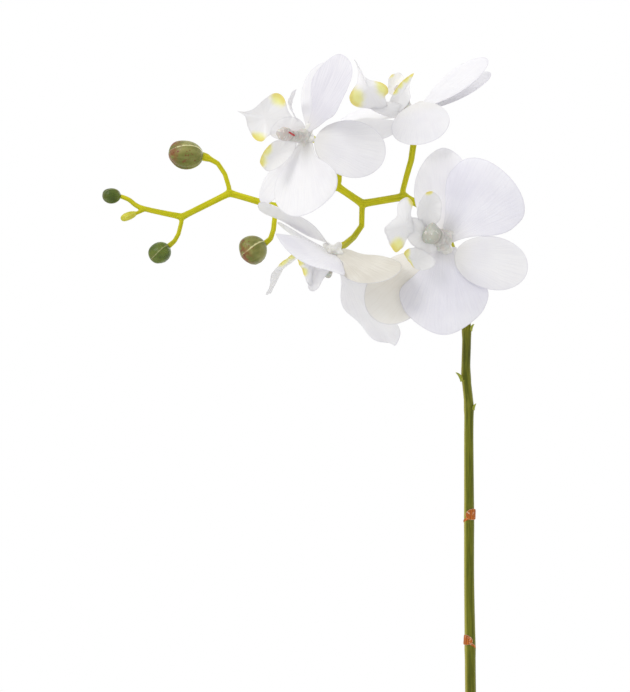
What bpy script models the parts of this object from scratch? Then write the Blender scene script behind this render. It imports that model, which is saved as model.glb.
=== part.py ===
"""A potted moth orchid: pot, bark, leaves, roots and one arching spike with four open flowers and five buds.

Metres, +Z up. The origin is the centre of the pot's flat foot, on the surface that the pot stands on.
The flower spike leans to -X, and the flowers face -Y, the front.
"""

import math

import bpy
import numpy as np

MM = 0.001

# Pot, in millimetres
POT_HEIGHT = 112
POT_TOP_RADIUS = 61
POT_FOOT_RADIUS = 45
POT_WALL = 4.5
POT_FLOOR = 7
RIM_BAND = 14
RIM_LIP = 2.2
POT_STEPS = 40

# Bark that fills the pot, and the crown that stands in it
BARK_TOP = 95
BARK_LUMP = 1.6
BARK_CORE = 15  # radius of the innermost ring of its underside
BARK_MIDDLE = 60  # height of the ring halfway up
BARK_ROUNDING = 3  # how far its edge drops at the wall
BARK_RINGS = 7
BARK_STEPS = 24
CROWN_AXIS = (-4, 4)
CROWN_RADIUS = 8
CROWN_BOTTOM = 91
CROWN_TOP = 121
GAP = 0.4

# Tissue thicknesses, and how finely the blades are divided
TEPAL_THICKNESS = 0.9
LIP_THICKNESS = 1.0
LEAF_THICKNESS = 2.4
BRACT_THICKNESS = 0.6
TEPAL_CELLS = 6
LIP_CELLS = 8
LEAF_CELLS = 8
BRACT_CELLS = 4
HUB = 3  # how far from a flower's middle its tepals start
CLAW_SHARE = 0.3  # share of a blade's length that its claw narrows
KEEL_ROUNDING = 2  # half width of the rounded bottom of a leaf's fold
ARC_STEPS = 128


# ---------------------------------------------------------------- small tools


def clear_scene():
    for obj in list(bpy.data.objects):
        bpy.data.objects.remove(obj)


def material(name, colour, roughness):
    made = bpy.data.materials.new(name)
    made.use_nodes = True
    shader = made.node_tree.nodes["Principled BSDF"]
    shader.inputs["Base Color"].default_value = (*colour, 1)
    shader.inputs["Roughness"].default_value = roughness
    shader.inputs["Metallic"].default_value = 0
    return made


def add(name, data, finish):
    """Links one named object that has its own material."""
    obj = bpy.data.objects.new(name, data)
    obj.data.materials.append(finish)
    bpy.context.scene.collection.objects.link(obj)
    return obj


def unit(vector):
    return np.array(vector, float) / np.linalg.norm(vector)


def smooth_route(points, per_span):
    """Points on a Catmull-Rom curve through the given ones; radii ride along in the last column."""
    route = np.array(points, float)
    padded = np.vstack([2 * route[0] - route[1], route, 2 * route[-1] - route[-2]])
    found = []
    for a, b, c, d in zip(padded, padded[1:], padded[2:], padded[3:]):
        for t in np.arange(per_span) / per_span:
            bend = (2 * a - 5 * b + 4 * c - d) * t**2 + (3 * b - a - 3 * c + d) * t**3
            found.append(0.5 * (2 * b + (c - a) * t + bend))
    return np.array(found + [route[-1]])


def stem(name, route, finish, per_span=2, resolution=2):
    """A round stem along (x, y, z, radius) points in millimetres."""
    curve = bpy.data.curves.new(name, "CURVE")
    curve.dimensions = "3D"
    curve.bevel_depth = MM
    curve.bevel_resolution = resolution
    curve.use_fill_caps = True
    curve.twist_mode = "MINIMUM"
    points = smooth_route(route, per_span)
    spline = curve.splines.new("POLY")
    spline.points.add(len(points) - 1)
    for point, (x, y, z, radius) in zip(spline.points, points):
        point.co = (x * MM, y * MM, z * MM, 1)
        point.radius = radius
    spline.use_smooth = True
    return add(name, curve, finish)


def turned(name, profile, finish, steps):
    """A body turned about Z from (radius, height) points in millimetres, with both ends on the axis."""
    mesh = bpy.data.meshes.new(name)
    points = [(radius * MM, 0, height * MM) for radius, height in profile]
    mesh.from_pydata(points, [(i, i + 1) for i in range(len(points) - 1)], [])
    obj = add(name, mesh, finish)
    screw = obj.modifiers.new("Turn", "SCREW")
    screw.steps = screw.render_steps = steps
    screw.use_merge_vertices = True
    screw.merge_threshold = 1e-5
    screw.use_smooth_shade = True
    return obj


def loft(name, rings, finish):
    """A closed body through rings of points, from one end to the other, capped by a point at either end."""
    count = len(rings[0])
    points = [rings[0].mean(axis=0), *np.concatenate(rings), rings[-1].mean(axis=0)]
    last = len(points) - 1
    faces = []
    for i in range(count):
        j = (i + 1) % count
        faces.append((0, 1 + j, 1 + i))
        for r in range(len(rings) - 1):
            low, high = 1 + r * count, 1 + (r + 1) * count
            faces.append((low + i, low + j, high + j, high + i))
        faces.append((last, last - count + i, last - count + j))
    mesh = bpy.data.meshes.new(name)
    mesh.from_pydata((np.array(points) * MM).tolist(), [], faces)
    mesh.shade_smooth()
    return add(name, mesh, finish)


# ------------------------------------------------------- blades: petals, leaves


def disc_grid(cells):
    """A square grid pressed into the unit disc, so that a round blade gets even four-sided faces."""
    side = np.linspace(-1, 1, cells + 1)
    s, t = np.meshgrid(side, side, indexing="ij")
    return s * np.sqrt(1 - t * t / 2), t * np.sqrt(1 - s * s / 2)


def arc(length, lift, curl):
    """Positions and slopes of a line that leaves at an angle and curls evenly, by shares of its length."""
    shares = np.linspace(0, 1, ARC_STEPS + 1)
    slope = np.radians(lift + curl * shares)
    middle = (slope[1:] + slope[:-1]) / 2
    run = np.concatenate([[0], np.cumsum(np.cos(middle))]) * length / ARC_STEPS
    rise = np.concatenate([[0], np.cumsum(np.sin(middle))]) * length / ARC_STEPS
    return shares, run, rise, slope


def blade_points(
    cells, length, width, widest=1.3, blunt=0.5, claw=0, lift=None, curl=0, cup=0, twist=0, keel=0, root=HUB
):
    """Points of a bent blade in millimetres: X runs outwards from its root, Y across it, Z out of its face.

    lift is the angle at which it leaves its root, and curl how far that angle changes up to its tip; with no
    lift, the tip comes back to X. widest says how far out it is widest, blunt how round its ends are, and
    claw narrows its base. cup turns its edges up about its midline, keel folds it there, and twist turns its
    tip.
    """
    x, y = disc_grid(cells)
    u = (1 + x) / 2
    v = np.where(1 - x * x > 1e-9, y / np.sqrt(np.maximum(1 - x * x, 1e-9)), 0)
    narrowing = 1 - claw * np.exp(-((u / CLAW_SHARE) ** 2))
    fullness = (4 * u**widest * (1 - u**widest)).clip(0) ** blunt * narrowing
    across = width / 2 * fullness * v
    shares, run, rise, slope = arc(length, -curl / 2 if lift is None else lift, curl)
    mid_x, mid_z, slope_u = (np.interp(u, shares, column) for column in (run, rise, slope))
    bow = math.radians(cup) / (width / 2) if cup else 1e-6
    side, out = np.sin(bow * across) / bow, (1 - np.cos(bow * across)) / bow
    out = out + keel * (np.sqrt(across**2 + KEEL_ROUNDING**2) - KEEL_ROUNDING)
    turn = np.radians(twist) * u
    side, out = side * np.cos(turn) - out * np.sin(turn), side * np.sin(turn) + out * np.cos(turn)
    return np.stack([root + mid_x - out * np.sin(slope_u), side, mid_z + out * np.cos(slope_u)], axis=-1)


def sheet(name, points, frame, thickness, finish):
    """A sheet through a grid of points, placed by its frame (origin and three axes) and thickened."""
    origin, x_axis, y_axis, z_axis = (np.array(part, float) for part in frame)
    placed = (origin + points @ np.array([x_axis, y_axis, z_axis])) * MM
    rows, columns = points.shape[:2]
    mesh = bpy.data.meshes.new(name)
    faces = [
        (r * columns + c, (r + 1) * columns + c, (r + 1) * columns + c + 1, r * columns + c + 1)
        for r in range(rows - 1)
        for c in range(columns - 1)
    ]
    mesh.from_pydata(placed.reshape(-1, 3).tolist(), [], faces)
    mesh.shade_smooth()
    obj = add(name, mesh, finish)
    solidify = obj.modifiers.new("Thickness", "SOLIDIFY")
    solidify.thickness = thickness * MM
    solidify.offset = 0
    solidify.use_even_offset = True
    solidify.thickness_clamp = 0
    return obj


def aimed(origin, towards, face):
    """The frame of a blade that runs from its origin one way, with its face turned as near to another."""
    x_axis = unit(towards)
    face = np.array(face, float)
    z_axis = unit(face - x_axis * (face @ x_axis))
    return origin, x_axis, np.cross(z_axis, x_axis), z_axis


# -------------------------------------------------------------------- flowers

LIP_LOBES = (  # angle about the lip's middle in degrees, reach in mm
    (0, 25), (8, 19), (22, 16), (42, 15), (60, 16), (72, 12), (86, 7), (100, 12), (113, 18), (128, 19),
    (140, 14),
    (158, 8), (180, 7),
)
LIP_REACH = 25
LIP_LENGTH = 32  # of its midline, from the back of the side lobes to the tip
LIP_BACK = 8  # how much of that lies behind its middle
LIP_FOLD_REACH = 9  # how far forward of the middle the turned-up ears fade out
LIP_FOLD_WIDTH = 13


# Share along the column, and radius
COLUMN_SHAPE = ((0.16, 2.6), (0.35, 2.9), (0.6, 3.7), (0.82, 4.6), (0.94, 4.2), (1, 2.2))


def lip_points(curl, ears, fold):
    """The lip's bent sheet: its middle lobe runs along X and curls, and its side lobes turn up as ears."""
    x, y = disc_grid(LIP_CELLS)
    radius, angle = np.hypot(x, y), np.arctan2(y, x)
    angles, reach = zip(*LIP_LOBES)
    reach = radius * np.interp(np.degrees(np.abs(angle)), angles, reach)
    along, across = reach * np.cos(angle), reach * np.sin(angle)
    share = np.clip(1 - along / LIP_FOLD_REACH, 0, 1)
    bow = np.radians(fold + (ears - fold) * share) / LIP_FOLD_WIDTH
    side, out = np.sin(bow * across) / bow, (1 - np.cos(bow * np.abs(across))) / bow
    shares, run, rise, slope = arc(LIP_LENGTH, -curl / 2, curl)
    reached = shares * LIP_LENGTH - LIP_BACK
    mid_x, mid_z, slope_a = (np.interp(along, reached, column) for column in (run, rise, slope))
    return np.stack([mid_x - LIP_BACK - out * np.sin(slope_a), side, mid_z + out * np.cos(slope_a)], axis=-1)


def flower(name, centre, gaze, tepals, lip, column, finishes):
    """One open flower about its centre. gaze points out of its face.

    Each tepal has its tip and where its face looks, both from the centre, and the lip has its start and tip.
    column is the vector from the centre to the column's end.
    """
    centre, gaze = np.array(centre, float), unit(gaze)
    for part, shape in tepals.items():
        shape = dict(shape)
        tip, face = np.array(shape.pop("tip"), float), shape.pop("face")
        layer = shape.pop("layer", 1.0 if "petal" in part else -1.0)
        frame = aimed(centre + gaze * layer, tip, face)
        length = np.linalg.norm(tip) - HUB
        points = blade_points(TEPAL_CELLS, length=length, **shape)
        sheet(f"{name}_{part}", points, frame, TEPAL_THICKNESS, finishes["tepal"])
    start, tip = np.array(lip["start"], float), np.array(lip["tip"], float)
    size = np.linalg.norm(tip - start) / LIP_REACH
    points = lip_points(lip.get("curl", 0), lip.get("ears", 45), lip.get("fold", 10)) * size
    frame = aimed(centre + start, tip - start, lip["face"])
    sheet(f"{name}_lip", points, frame, LIP_THICKNESS, finishes["lip"])
    along = np.array(column, float)
    route = [(*(centre + along * share), radius) for share, radius in COLUMN_SHAPE]
    stem(f"{name}_column", route, finishes["column"], resolution=3)


# ------------------------------------------------------------ buds and bracts


BUD_RINGS = (0.03, 0.12, 0.27, 0.45, 0.63, 0.8, 0.92, 0.98)  # shares of a bud's length
BUD_STEPS = 12
BUD_POINT = 2.2  # how blunt a bud's tip is
BUD_LOBES = 0.025  # how far its three outer sepals bulge


def bud(name, base, tip, width, finish, full):
    """A closed bud from its base to its tip, widest at the given share of its length, with a blunt point."""
    base, tip = np.array(base, float), np.array(tip, float)
    axis = unit(tip - base)
    side = unit(np.cross(axis, (0, 1, 0.2)))
    other = np.cross(axis, side)
    turns = np.arange(BUD_STEPS) * 2 * math.pi / BUD_STEPS
    lobes = 1 + BUD_LOBES * np.cos(3 * turns)
    rings = []
    for share in BUD_RINGS:
        t = share / full if share < full else (share - full) / (1 - full)
        swell = math.sqrt(1 - (1 - t) ** 2) if share < full else math.sqrt(1 - t**BUD_POINT)
        ring = [side * math.cos(a) + other * math.sin(a) for a in turns]
        rings.append(base + (tip - base) * share + width / 2 * swell * lobes[:, None] * np.array(ring))
    return loft(name, rings, finish)


BRACT_FLARE = 8  # degrees that a bract's tip opens


def bract(name, at, side, along, stem_radius, length, width, finish):
    """A small scale that wraps a stem at a point, on one side of it, and opens a little at its tip."""
    distance = stem_radius + GAP + BRACT_THICKNESS / 2
    along, side = unit(along), np.array(side, float)
    side = unit(side - along * (side @ along))
    origin = np.array(at, float) + side * distance
    wrap = math.degrees(width / 2 / distance)
    points = blade_points(BRACT_CELLS, length, width, widest=1.0, lift=0, curl=-BRACT_FLARE, cup=wrap, root=0)
    return sheet(name, points, (origin, along, np.cross(-side, along), -side), BRACT_THICKNESS, finish)


# ------------------------------------------------------- pot, bark and leaves


def wall_radius(height):
    """The pot's outer radius under its rim band."""
    share = height / (POT_HEIGHT - RIM_BAND)
    return POT_FOOT_RADIUS + (POT_TOP_RADIUS - POT_FOOT_RADIUS) * share


def make_pot(finish):
    inner_top = POT_TOP_RADIUS + RIM_LIP - POT_WALL
    band = POT_HEIGHT - RIM_BAND
    outer_top = POT_TOP_RADIUS + RIM_LIP + 0.6
    profile = (
        (0, POT_FLOOR), (wall_radius(POT_FLOOR) - POT_WALL - 3, POT_FLOOR),
        (wall_radius(POT_FLOOR + 3) - POT_WALL, POT_FLOOR + 3), (wall_radius(band) - POT_WALL, band),
        (inner_top, POT_HEIGHT - 1.6), (inner_top + 0.7, POT_HEIGHT - 0.4), (inner_top + 2.1, POT_HEIGHT),
        (outer_top - 1.3, POT_HEIGHT - 0.2), (outer_top, POT_HEIGHT - 1.6), (outer_top - 0.3, band + 1.4),
        (outer_top - 1.3, band + 0.2), (wall_radius(band) - 0.1, band - 1.2), (wall_radius(3), 3),
        (POT_FOOT_RADIUS - 0.6, 0.8), (POT_FOOT_RADIUS - 2.2, 0), (0, 0),
    )
    return turned("pot", profile, finish, POT_STEPS)


def bark_height(x, y):
    """The bark's lumpy top, with a hollow that the crown stands in."""
    lumps = np.sin(0.21 * x + 1.3 * np.sin(0.13 * y)) * np.cos(0.24 * y + 0.9 * np.sin(0.17 * x))
    heaped = BARK_TOP + BARK_LUMP * lumps - 0.0012 * (x * x + y * y)
    from_crown = np.hypot(x - CROWN_AXIS[0], y - CROWN_AXIS[1])
    hollow = CROWN_BOTTOM - 1.2 + 0.9 * np.maximum(from_crown - CROWN_RADIUS - 1.5, 0)
    return np.minimum(heaped, hollow)


def make_bark(finish):
    """The bark fills the pot up to a lumpy top: lofted from its flat underside up and in to the crown."""
    turns = np.arange(BARK_STEPS) * 2 * math.pi / BARK_STEPS
    circle = np.stack([np.cos(turns), np.sin(turns)], axis=-1)
    rings = []
    floor = POT_FLOOR + GAP
    under = (
        (floor, BARK_CORE),
        (floor, wall_radius(POT_FLOOR) - POT_WALL - 4),
        (BARK_MIDDLE, wall_radius(BARK_MIDDLE) - POT_WALL - 1),
    )
    for height, radius in under:
        rings.append(np.column_stack([circle * radius, np.full(BARK_STEPS, height)]))
    edge = wall_radius(BARK_TOP - 6) - POT_WALL - 1
    for r in range(BARK_RINGS):
        share = 1 - r / BARK_RINGS
        centre = np.array(CROWN_AXIS) * (1 - share)
        ground = centre + circle * edge * (share if r else 1)
        height = bark_height(*ground.T) - (BARK_ROUNDING if r == 0 else 0)
        rings.append(np.column_stack([ground, height]))
    return loft("potting_bark", rings, finish)


CROWN_STEPS = 20


def make_crown(finish):
    shape = (
        (0, CROWN_TOP), (2.5, CROWN_TOP - 1), (5, CROWN_TOP - 6), (7, CROWN_TOP - 14),
        (CROWN_RADIUS, CROWN_BOTTOM + 9),
        (CROWN_RADIUS - 1, CROWN_BOTTOM + 3), (4, CROWN_BOTTOM + 0.3), (0, CROWN_BOTTOM),
    )
    crown = turned("crown", shape, finish, CROWN_STEPS)
    crown.location = (CROWN_AXIS[0] * MM, CROWN_AXIS[1] * MM, 0)
    return crown


LEAVES = {  # direction about the crown in degrees, base height, length, width, lift, curl, twist
    "leaf_1": (22, 101, 205, 72, 44, -66, 6),
    "leaf_2": (201, 104, 195, 74, 48, -74, -8),
    "leaf_3": (31, 109, 165, 66, 60, -78, -5),
    "leaf_4": (212, 113, 140, 60, 66, -76, 9),
    "leaf_5": (20, 118, 86, 42, 78, -50, 0),
}


def make_leaf(name, spec, finish):
    azimuth, base, length, width, lift, curl, twist = spec
    a = math.radians(azimuth)
    out, across = (math.cos(a), math.sin(a), 0), (-math.sin(a), math.cos(a), 0)
    points = blade_points(
        LEAF_CELLS, length, width, widest=1.15, blunt=0.62, claw=0.55, lift=lift, curl=curl, twist=twist,
        keel=0.28, root=CROWN_RADIUS + 2,
    )
    return sheet(name, points, ((*CROWN_AXIS, base), out, across, (0, 0, 1)), LEAF_THICKNESS, finish)


# x, y, z, radius: each root leaves the crown's foot and creeps over the bark; the first hangs over the rim
ROOTS = {
    "root_1": (
        (-14, -4, 99, 2.4), (-24, -18, 103, 2.5), (-36, -36, 112, 2.6), (-45, -47, 117.5, 2.6),
        (-51.5, -53.5, 112, 2.5),
        (-53, -55.5, 98, 2.4), (-49, -57, 84, 2.3), (-43, -59, 73, 2.0), (-39, -61, 67, 1.2),
    ),
    "root_2": (
        (5.5, -2, 99.5, 2.3), (17, -14, 99.5, 2.4), (28, -20, 99.8, 2.4), (38, -17, 98.8, 2.2),
        (45, -10, 97.8, 1.9),
        (48, -2, 97, 1.1),
    ),
    "root_3": (
        (-9, 14, 99, 2.3), (-14, 25, 99.6, 2.4), (-10, 36, 99, 2.3), (0, 43, 98, 2.0), (9, 45, 97, 1.2),
    ),
}


# ------------------------------------------------------------------ the spike

# The spike from its base to its last bud: x, y, z and radius in millimetres
SPIKE = (
    (3, -9, 101, 3.3), (7, -13, 118, 3.3), (9, -9, 150, 3.2), (7.5, -3, 195, 3.1), (7, 0, 235, 3.05),
    (6.7, 0, 264, 3.0), (6.2, 0, 300, 2.8), (6.2, 0, 334, 2.8), (6, 0, 376, 2.6), (6, 0, 396, 2.6),
    (4.4, 0, 414, 2.5),
    (4.8, 1, 437, 2.45), (3, 4, 462, 2.4), (-5, 6, 487, 2.3), (-16, 5, 504, 2.2), (-30, 2, 512.5, 2.1),
    (-53.5, 0, 508.5, 2.1), (-67.5, -1, 518, 2.0), (-85, 4, 513, 1.9), (-102, 5, 507, 1.9),
    (-128, 2, 514.5, 1.8),
    (-154.5, -3, 501, 1.7), (-177, -4, 506, 1.4), (-184, -4, 510.5, 1.25), (-188, -4, 512.6, 1.2),
)

# Point on the spike, side it sits on, direction along the spike, stem radius, length, width, brown or green
BRACTS = {
    "bract_1": ((7.2, -1, 214), (0.5, -0.8, 0), (0, 0, 1), 3.15, 12, 13, "brown"),
    "bract_2": ((6.7, 0, 259), (0.45, -0.9, 0), (0, 0, 1), 3.05, 10, 11, "brown"),
    "bract_3": ((6.2, 0, 329), (0.45, -0.9, 0), (0, 0, 1), 2.85, 10, 11, "brown"),
    "bract_4": ((6, 0, 392), (1, -0.3, 0), (0, 0, 1), 2.7, 7, 8, "green"),
    "bract_5": ((4.5, 0, 410), (-1, -0.3, 0), (-0.05, 0, 1), 2.6, 8, 8, "green"),
    "bract_6": ((4.8, 1, 436), (1, -0.2, 0), (0, 0.1, 1), 2.55, 7, 8, "green"),
}

PEDICELS = {  # stalks of the flowers and buds, from the spike out: x, y, z, radius
    "pedicel_1": ((-5, 1.8, 486, 1.6), (-8, -8, 490, 1.7), (-9, -20, 490, 1.7), (-9, -30.5, 487, 2.2)),
    "pedicel_2": (
        (-66.6, -2.6, 521.5, 1.5), (-66.4, -5, 529, 1.55), (-71, -11, 537, 1.6), (-78, -20, 542, 1.7),
        (-81.5, -29, 544, 2.0),
    ),
    "pedicel_3": (
        (-30.8, 2, 516.3, 1.55), (-28.8, 1.4, 524, 1.6), (-26.2, 1, 533, 1.7), (-24.9, 0.5, 542, 1.8),
        (-26.4, 0, 553.5, 2.2),
    ),
    "pedicel_4": (
        (-53.8, -1, 504.8, 1.55), (-54, -3, 496, 1.6), (-58.5, -9, 489.5, 1.7), (-63, -16, 485.5, 1.9),
        (-65.5, -20, 484, 2.2),
    ),
    "pedicel_5": ((-128.4, 1.6, 518, 1.3), (-130.5, 1, 525, 1.3), (-134.5, 0, 531, 1.35),
        (-142, -1, 534.5, 1.6)),
    "pedicel_6": ((-154.9, -3.3, 497.6, 1.2), (-156.4, -4, 491.5, 1.2), (-158.5, -5, 487.5, 1.25),
        (-161.2, -5.6, 485, 1.4)),
    "pedicel_7": ((-102.4, 4.4, 503.6, 1.4), (-103.4, 3, 494, 1.4), (-105, 1.5, 489, 1.45),
        (-107.4, 0, 486.4, 1.6)),
}

BUDS = {  # base, tip, width, where it is fullest
    "bud_1": ((-142.6, -1, 534.8), (-162, -3, 537), 16.5, 0.5),
    "bud_2": ((-188.6, -4, 513), (-199, -4.5, 512.6), 9, 0.5),
    "bud_3": ((-161.5, -5.8, 484.6), (-172, -7, 477.2), 12.2, 0.5),
    "bud_4": ((-107.8, -0.2, 486), (-121.5, -3, 479.5), 17, 0.55),
    "bud_5": ((-180.5, -4.6, 503), (-188, -5, 500.2), 3.4, 0.6),
}

FLOWERS = {
    "flower_1": dict(
        centre=(-9, -34, 486.5), gaze=(-0.35, -0.9, 0.2),
        tepals={
            "dorsal_sepal": dict(tip=(45, -3, -19), face=(-0.1, -1, 0.1), width=27, claw=0.5, curl=-10,
                cup=12),
            "left_petal": dict(tip=(34.5, -8, 37.5), face=(-0.15, -1, 0.1), width=47, claw=0.8, curl=12,
                cup=-8),
            "right_petal": dict(tip=(-1, -8, -52), face=(0, -1, -0.1), width=49, claw=0.7, curl=-14, cup=-10),
            "left_sepal": dict(
                tip=(-0.5, 12, 52.5), face=(-0.2, -1, 0), width=33, widest=0.95, blunt=0.6, claw=0.1,
                    curl=-8, cup=8
            ),
            "right_sepal": dict(tip=(-40, -1, -42), face=(-0.1, -1, 0.1), width=34, claw=0.4, curl=-8, cup=8),
        },
        lip=dict(start=(-18, -12, 8.5), tip=(-36.6, -35, 5.5), face=(0.7, -0.7, 0.1), curl=-20, ears=25,
            fold=6),
        column=(-7.8, -16, 6.2),
    ),
    "flower_2": dict(
        centre=(-85, -34, 544.7), gaze=(-0.7, -0.7, 0.1),
        tepals={
            "dorsal_sepal": dict(tip=(43, -8, -13.5), face=(-0.2, -1, 0.1), width=32, claw=0.5, curl=-10,
                cup=8),
            "left_petal": dict(tip=(23.5, -14, 41), face=(-0.85, -0.5, 0.3), width=44, claw=0.7, curl=14,
                cup=14),
            "right_petal": dict(tip=(-1.5, -12, -45), face=(-0.6, -0.8, 0), width=44, claw=0.6, curl=-10,
                cup=-12),
            "left_sepal": dict(tip=(9, 17, 42), face=(-0.35, -0.9, 0), width=21, claw=0.3, curl=-8, cup=8),
            "right_sepal": dict(
                tip=(-19.5, 14, -38.5), face=(-0.35, -0.9, 0), width=18, widest=1.6, claw=0.6, curl=-8, cup=8
            ),
        },
        lip=dict(start=(-13.5, -2, 5.5), tip=(-38.5, -5, 11), face=(-0.1, -1, 0.2), curl=-10, ears=45,
            fold=8),
        column=(-16.5, -21, 2.2),
    ),
    "flower_3": dict(
        centre=(-28, 0, 559), gaze=(-0.45, 0.1, 0.88),
        tepals={
            "dorsal_sepal": dict(tip=(44, 8, 32.5), face=(-0.45, -0.5, 0.75), width=30, claw=0.5, curl=14,
                cup=10),
            "left_petal": dict(tip=(45, 22, 21.5), face=(-0.5, -0.35, 0.8), width=32, claw=0.8, curl=10,
                cup=8, layer=-2.6),
            "right_petal": dict(
                tip=(14, -34, -20), face=(-0.19, -0.65, 0.75), width=36, widest=1.2, claw=0.7, curl=-10,
                    cup=-10, layer=1.6
            ),
            "left_sepal": dict(tip=(-35, 31, 2), face=(-0.1, -0.15, 1), width=30, claw=0.5, curl=-8, cup=8,
                layer=-1.5),
            "right_sepal": dict(tip=(-36, -21, -12), face=(0.1, -0.2, 1), width=28, claw=0.8, curl=-8, cup=8,
                layer=-3.6),
        },
        lip=dict(start=(-19, -8, 6), tip=(-28.6, -10, 29.5), face=(0.6, -0.75, 0.2), curl=-20, ears=50,
            fold=15),
        column=(-6, 6, 15.5),
    ),
    "flower_4": dict(
        centre=(-69, -24, 481.5), gaze=(-0.55, -0.15, -0.82),
        tepals={
            "dorsal_sepal": dict(tip=(-44, 7, 24.5), face=(-0.49, -0.12, -0.87), width=26, claw=0.4, curl=38,
                cup=8),
            "left_petal": dict(tip=(-21, -42, -3), face=(-0.44, 0.3, -0.85), width=46, claw=0.6, curl=-8,
                cup=-8),
            "right_petal": dict(tip=(-21, 42, 9), face=(-0.4, -0.25, -0.9), width=46, claw=0.6, curl=-8,
                cup=-8),
            "left_sepal": dict(tip=(31, -35, -16), face=(0, 0.6, -0.8), width=32, claw=0.5, curl=-8, cup=8),
            "right_sepal": dict(tip=(33.5, 15, -52), face=(-0.55, -0.8, -0.2), width=30, claw=0.5, curl=-8,
                cup=8),
        },
        lip=dict(start=(-19.5, -3, -5), tip=(-38.5, -5, -25), face=(0.45, 0.1, -0.9), curl=20, ears=70,
            fold=20),
        column=(-7, -3, -13),
    ),
}


def main():
    clear_scene()
    finishes = {
        "tepal": material("tepal_white", (0.90, 0.89, 0.91), 0.5),
        "lip": material("lip_white", (0.93, 0.91, 0.80), 0.45),
        "column": material("column_grey", (0.72, 0.70, 0.66), 0.35),
    }
    green = material("spike_green", (0.11, 0.14, 0.02), 0.4)
    brown = material("bract_brown", (0.30, 0.12, 0.02), 0.6)
    bud_green = material("bud_green", (0.20, 0.20, 0.06), 0.4)
    leaf_green = material("leaf_green", (0.06, 0.13, 0.03), 0.35)
    make_pot(material("pot_glaze", (0.80, 0.78, 0.74), 0.3))
    make_bark(material("bark_brown", (0.16, 0.09, 0.05), 0.9))
    make_crown(material("crown_green", (0.16, 0.20, 0.06), 0.5))
    for name, spec in LEAVES.items():
        make_leaf(name, spec, leaf_green)
    root_grey = material("root_grey", (0.45, 0.48, 0.38), 0.7)
    for name, route in ROOTS.items():
        stem(name, route, root_grey)
    stem("flower_spike", SPIKE, green, resolution=3)
    for name, (*shape, kind) in BRACTS.items():
        bract(name, *shape, {"brown": brown, "green": green}[kind])
    for name, route in PEDICELS.items():
        stem(name, route, green)
    for name, (base, tip, width, full) in BUDS.items():
        bud(name, base, tip, width, bud_green, full)
    for name, spec in FLOWERS.items():
        flower(name, finishes=finishes, **spec)


if __name__ == "__main__":
    main()
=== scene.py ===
# %% [markdown]
# # A potted moth orchid, piece by piece
#
# The solid model of this plant already exists: it gives every piece its place and its size. This lesson dresses it,
# so that it looks like the living plant. It starts by loading the solid model as a frame. Each piece made here then
# either stands in for one or more of its solids, or sits on them.

# %% Load the solid model
import math

import bpy
import numpy as np
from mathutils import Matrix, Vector, kdtree


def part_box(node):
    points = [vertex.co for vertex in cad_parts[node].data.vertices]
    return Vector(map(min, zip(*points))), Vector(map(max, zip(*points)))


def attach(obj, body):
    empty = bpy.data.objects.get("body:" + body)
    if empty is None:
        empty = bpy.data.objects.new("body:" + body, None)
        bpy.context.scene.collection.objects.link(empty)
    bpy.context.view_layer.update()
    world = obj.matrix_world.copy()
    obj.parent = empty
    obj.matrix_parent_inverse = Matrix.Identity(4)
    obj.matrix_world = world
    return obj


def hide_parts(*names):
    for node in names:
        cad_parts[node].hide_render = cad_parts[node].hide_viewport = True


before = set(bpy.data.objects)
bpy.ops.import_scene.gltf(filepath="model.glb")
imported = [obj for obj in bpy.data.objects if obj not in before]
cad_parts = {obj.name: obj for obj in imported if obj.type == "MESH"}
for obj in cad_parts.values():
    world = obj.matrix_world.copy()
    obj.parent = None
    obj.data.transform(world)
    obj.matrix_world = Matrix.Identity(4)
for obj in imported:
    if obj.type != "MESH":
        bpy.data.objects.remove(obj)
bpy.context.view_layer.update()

MM = 0.001

# %% [markdown]
# ## The camera and the light
#
# The camera stands level in front of the flowers, a long way off with a long lens, so that the flowers keep their
# proportions. The light is that of a white studio tent: bright and soft from behind and from both sides, a little
# weaker from the front, with one large lamp from the upper left to shape the petals. Looking past the plant, the
# camera sees plain white.

# %% Camera
VIEW_HEIGHT, DISTANCE = 0.3875, 2.2


def stand(name, data):
    """An object of this data, put in the scene."""
    obj = bpy.data.objects.new(name, data)
    bpy.context.scene.collection.objects.link(obj)
    return obj


camera = stand("camera", bpy.data.cameras.new("camera"))
camera.location = (-0.0801, -DISTANCE, 0.4288)
camera.rotation_euler = (math.radians(90), 0, 0)
camera.data.sensor_width = 36
camera.data.lens = 36 * DISTANCE / VIEW_HEIGHT
camera.data.clip_end = 10
bpy.context.scene.camera = camera
bpy.context.scene.view_settings.view_transform = "Standard"
print("lens", round(camera.data.lens, 1), "mm")

# %% [markdown]
# ## Sums as nodes
#
# Every finish below is a small sum over the surface, such as "green, darker along the streaks". Two small helpers
# let Python write such sums as nodes. A Flow is one value on its way through the nodes, and +, -, * and / between
# Flows and numbers add Math nodes. A Board is the node tree they are laid out on, and its one method `node` adds
# any other kind of node. A Finish is a Board that makes a material.

# %% Flows and boards


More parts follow.
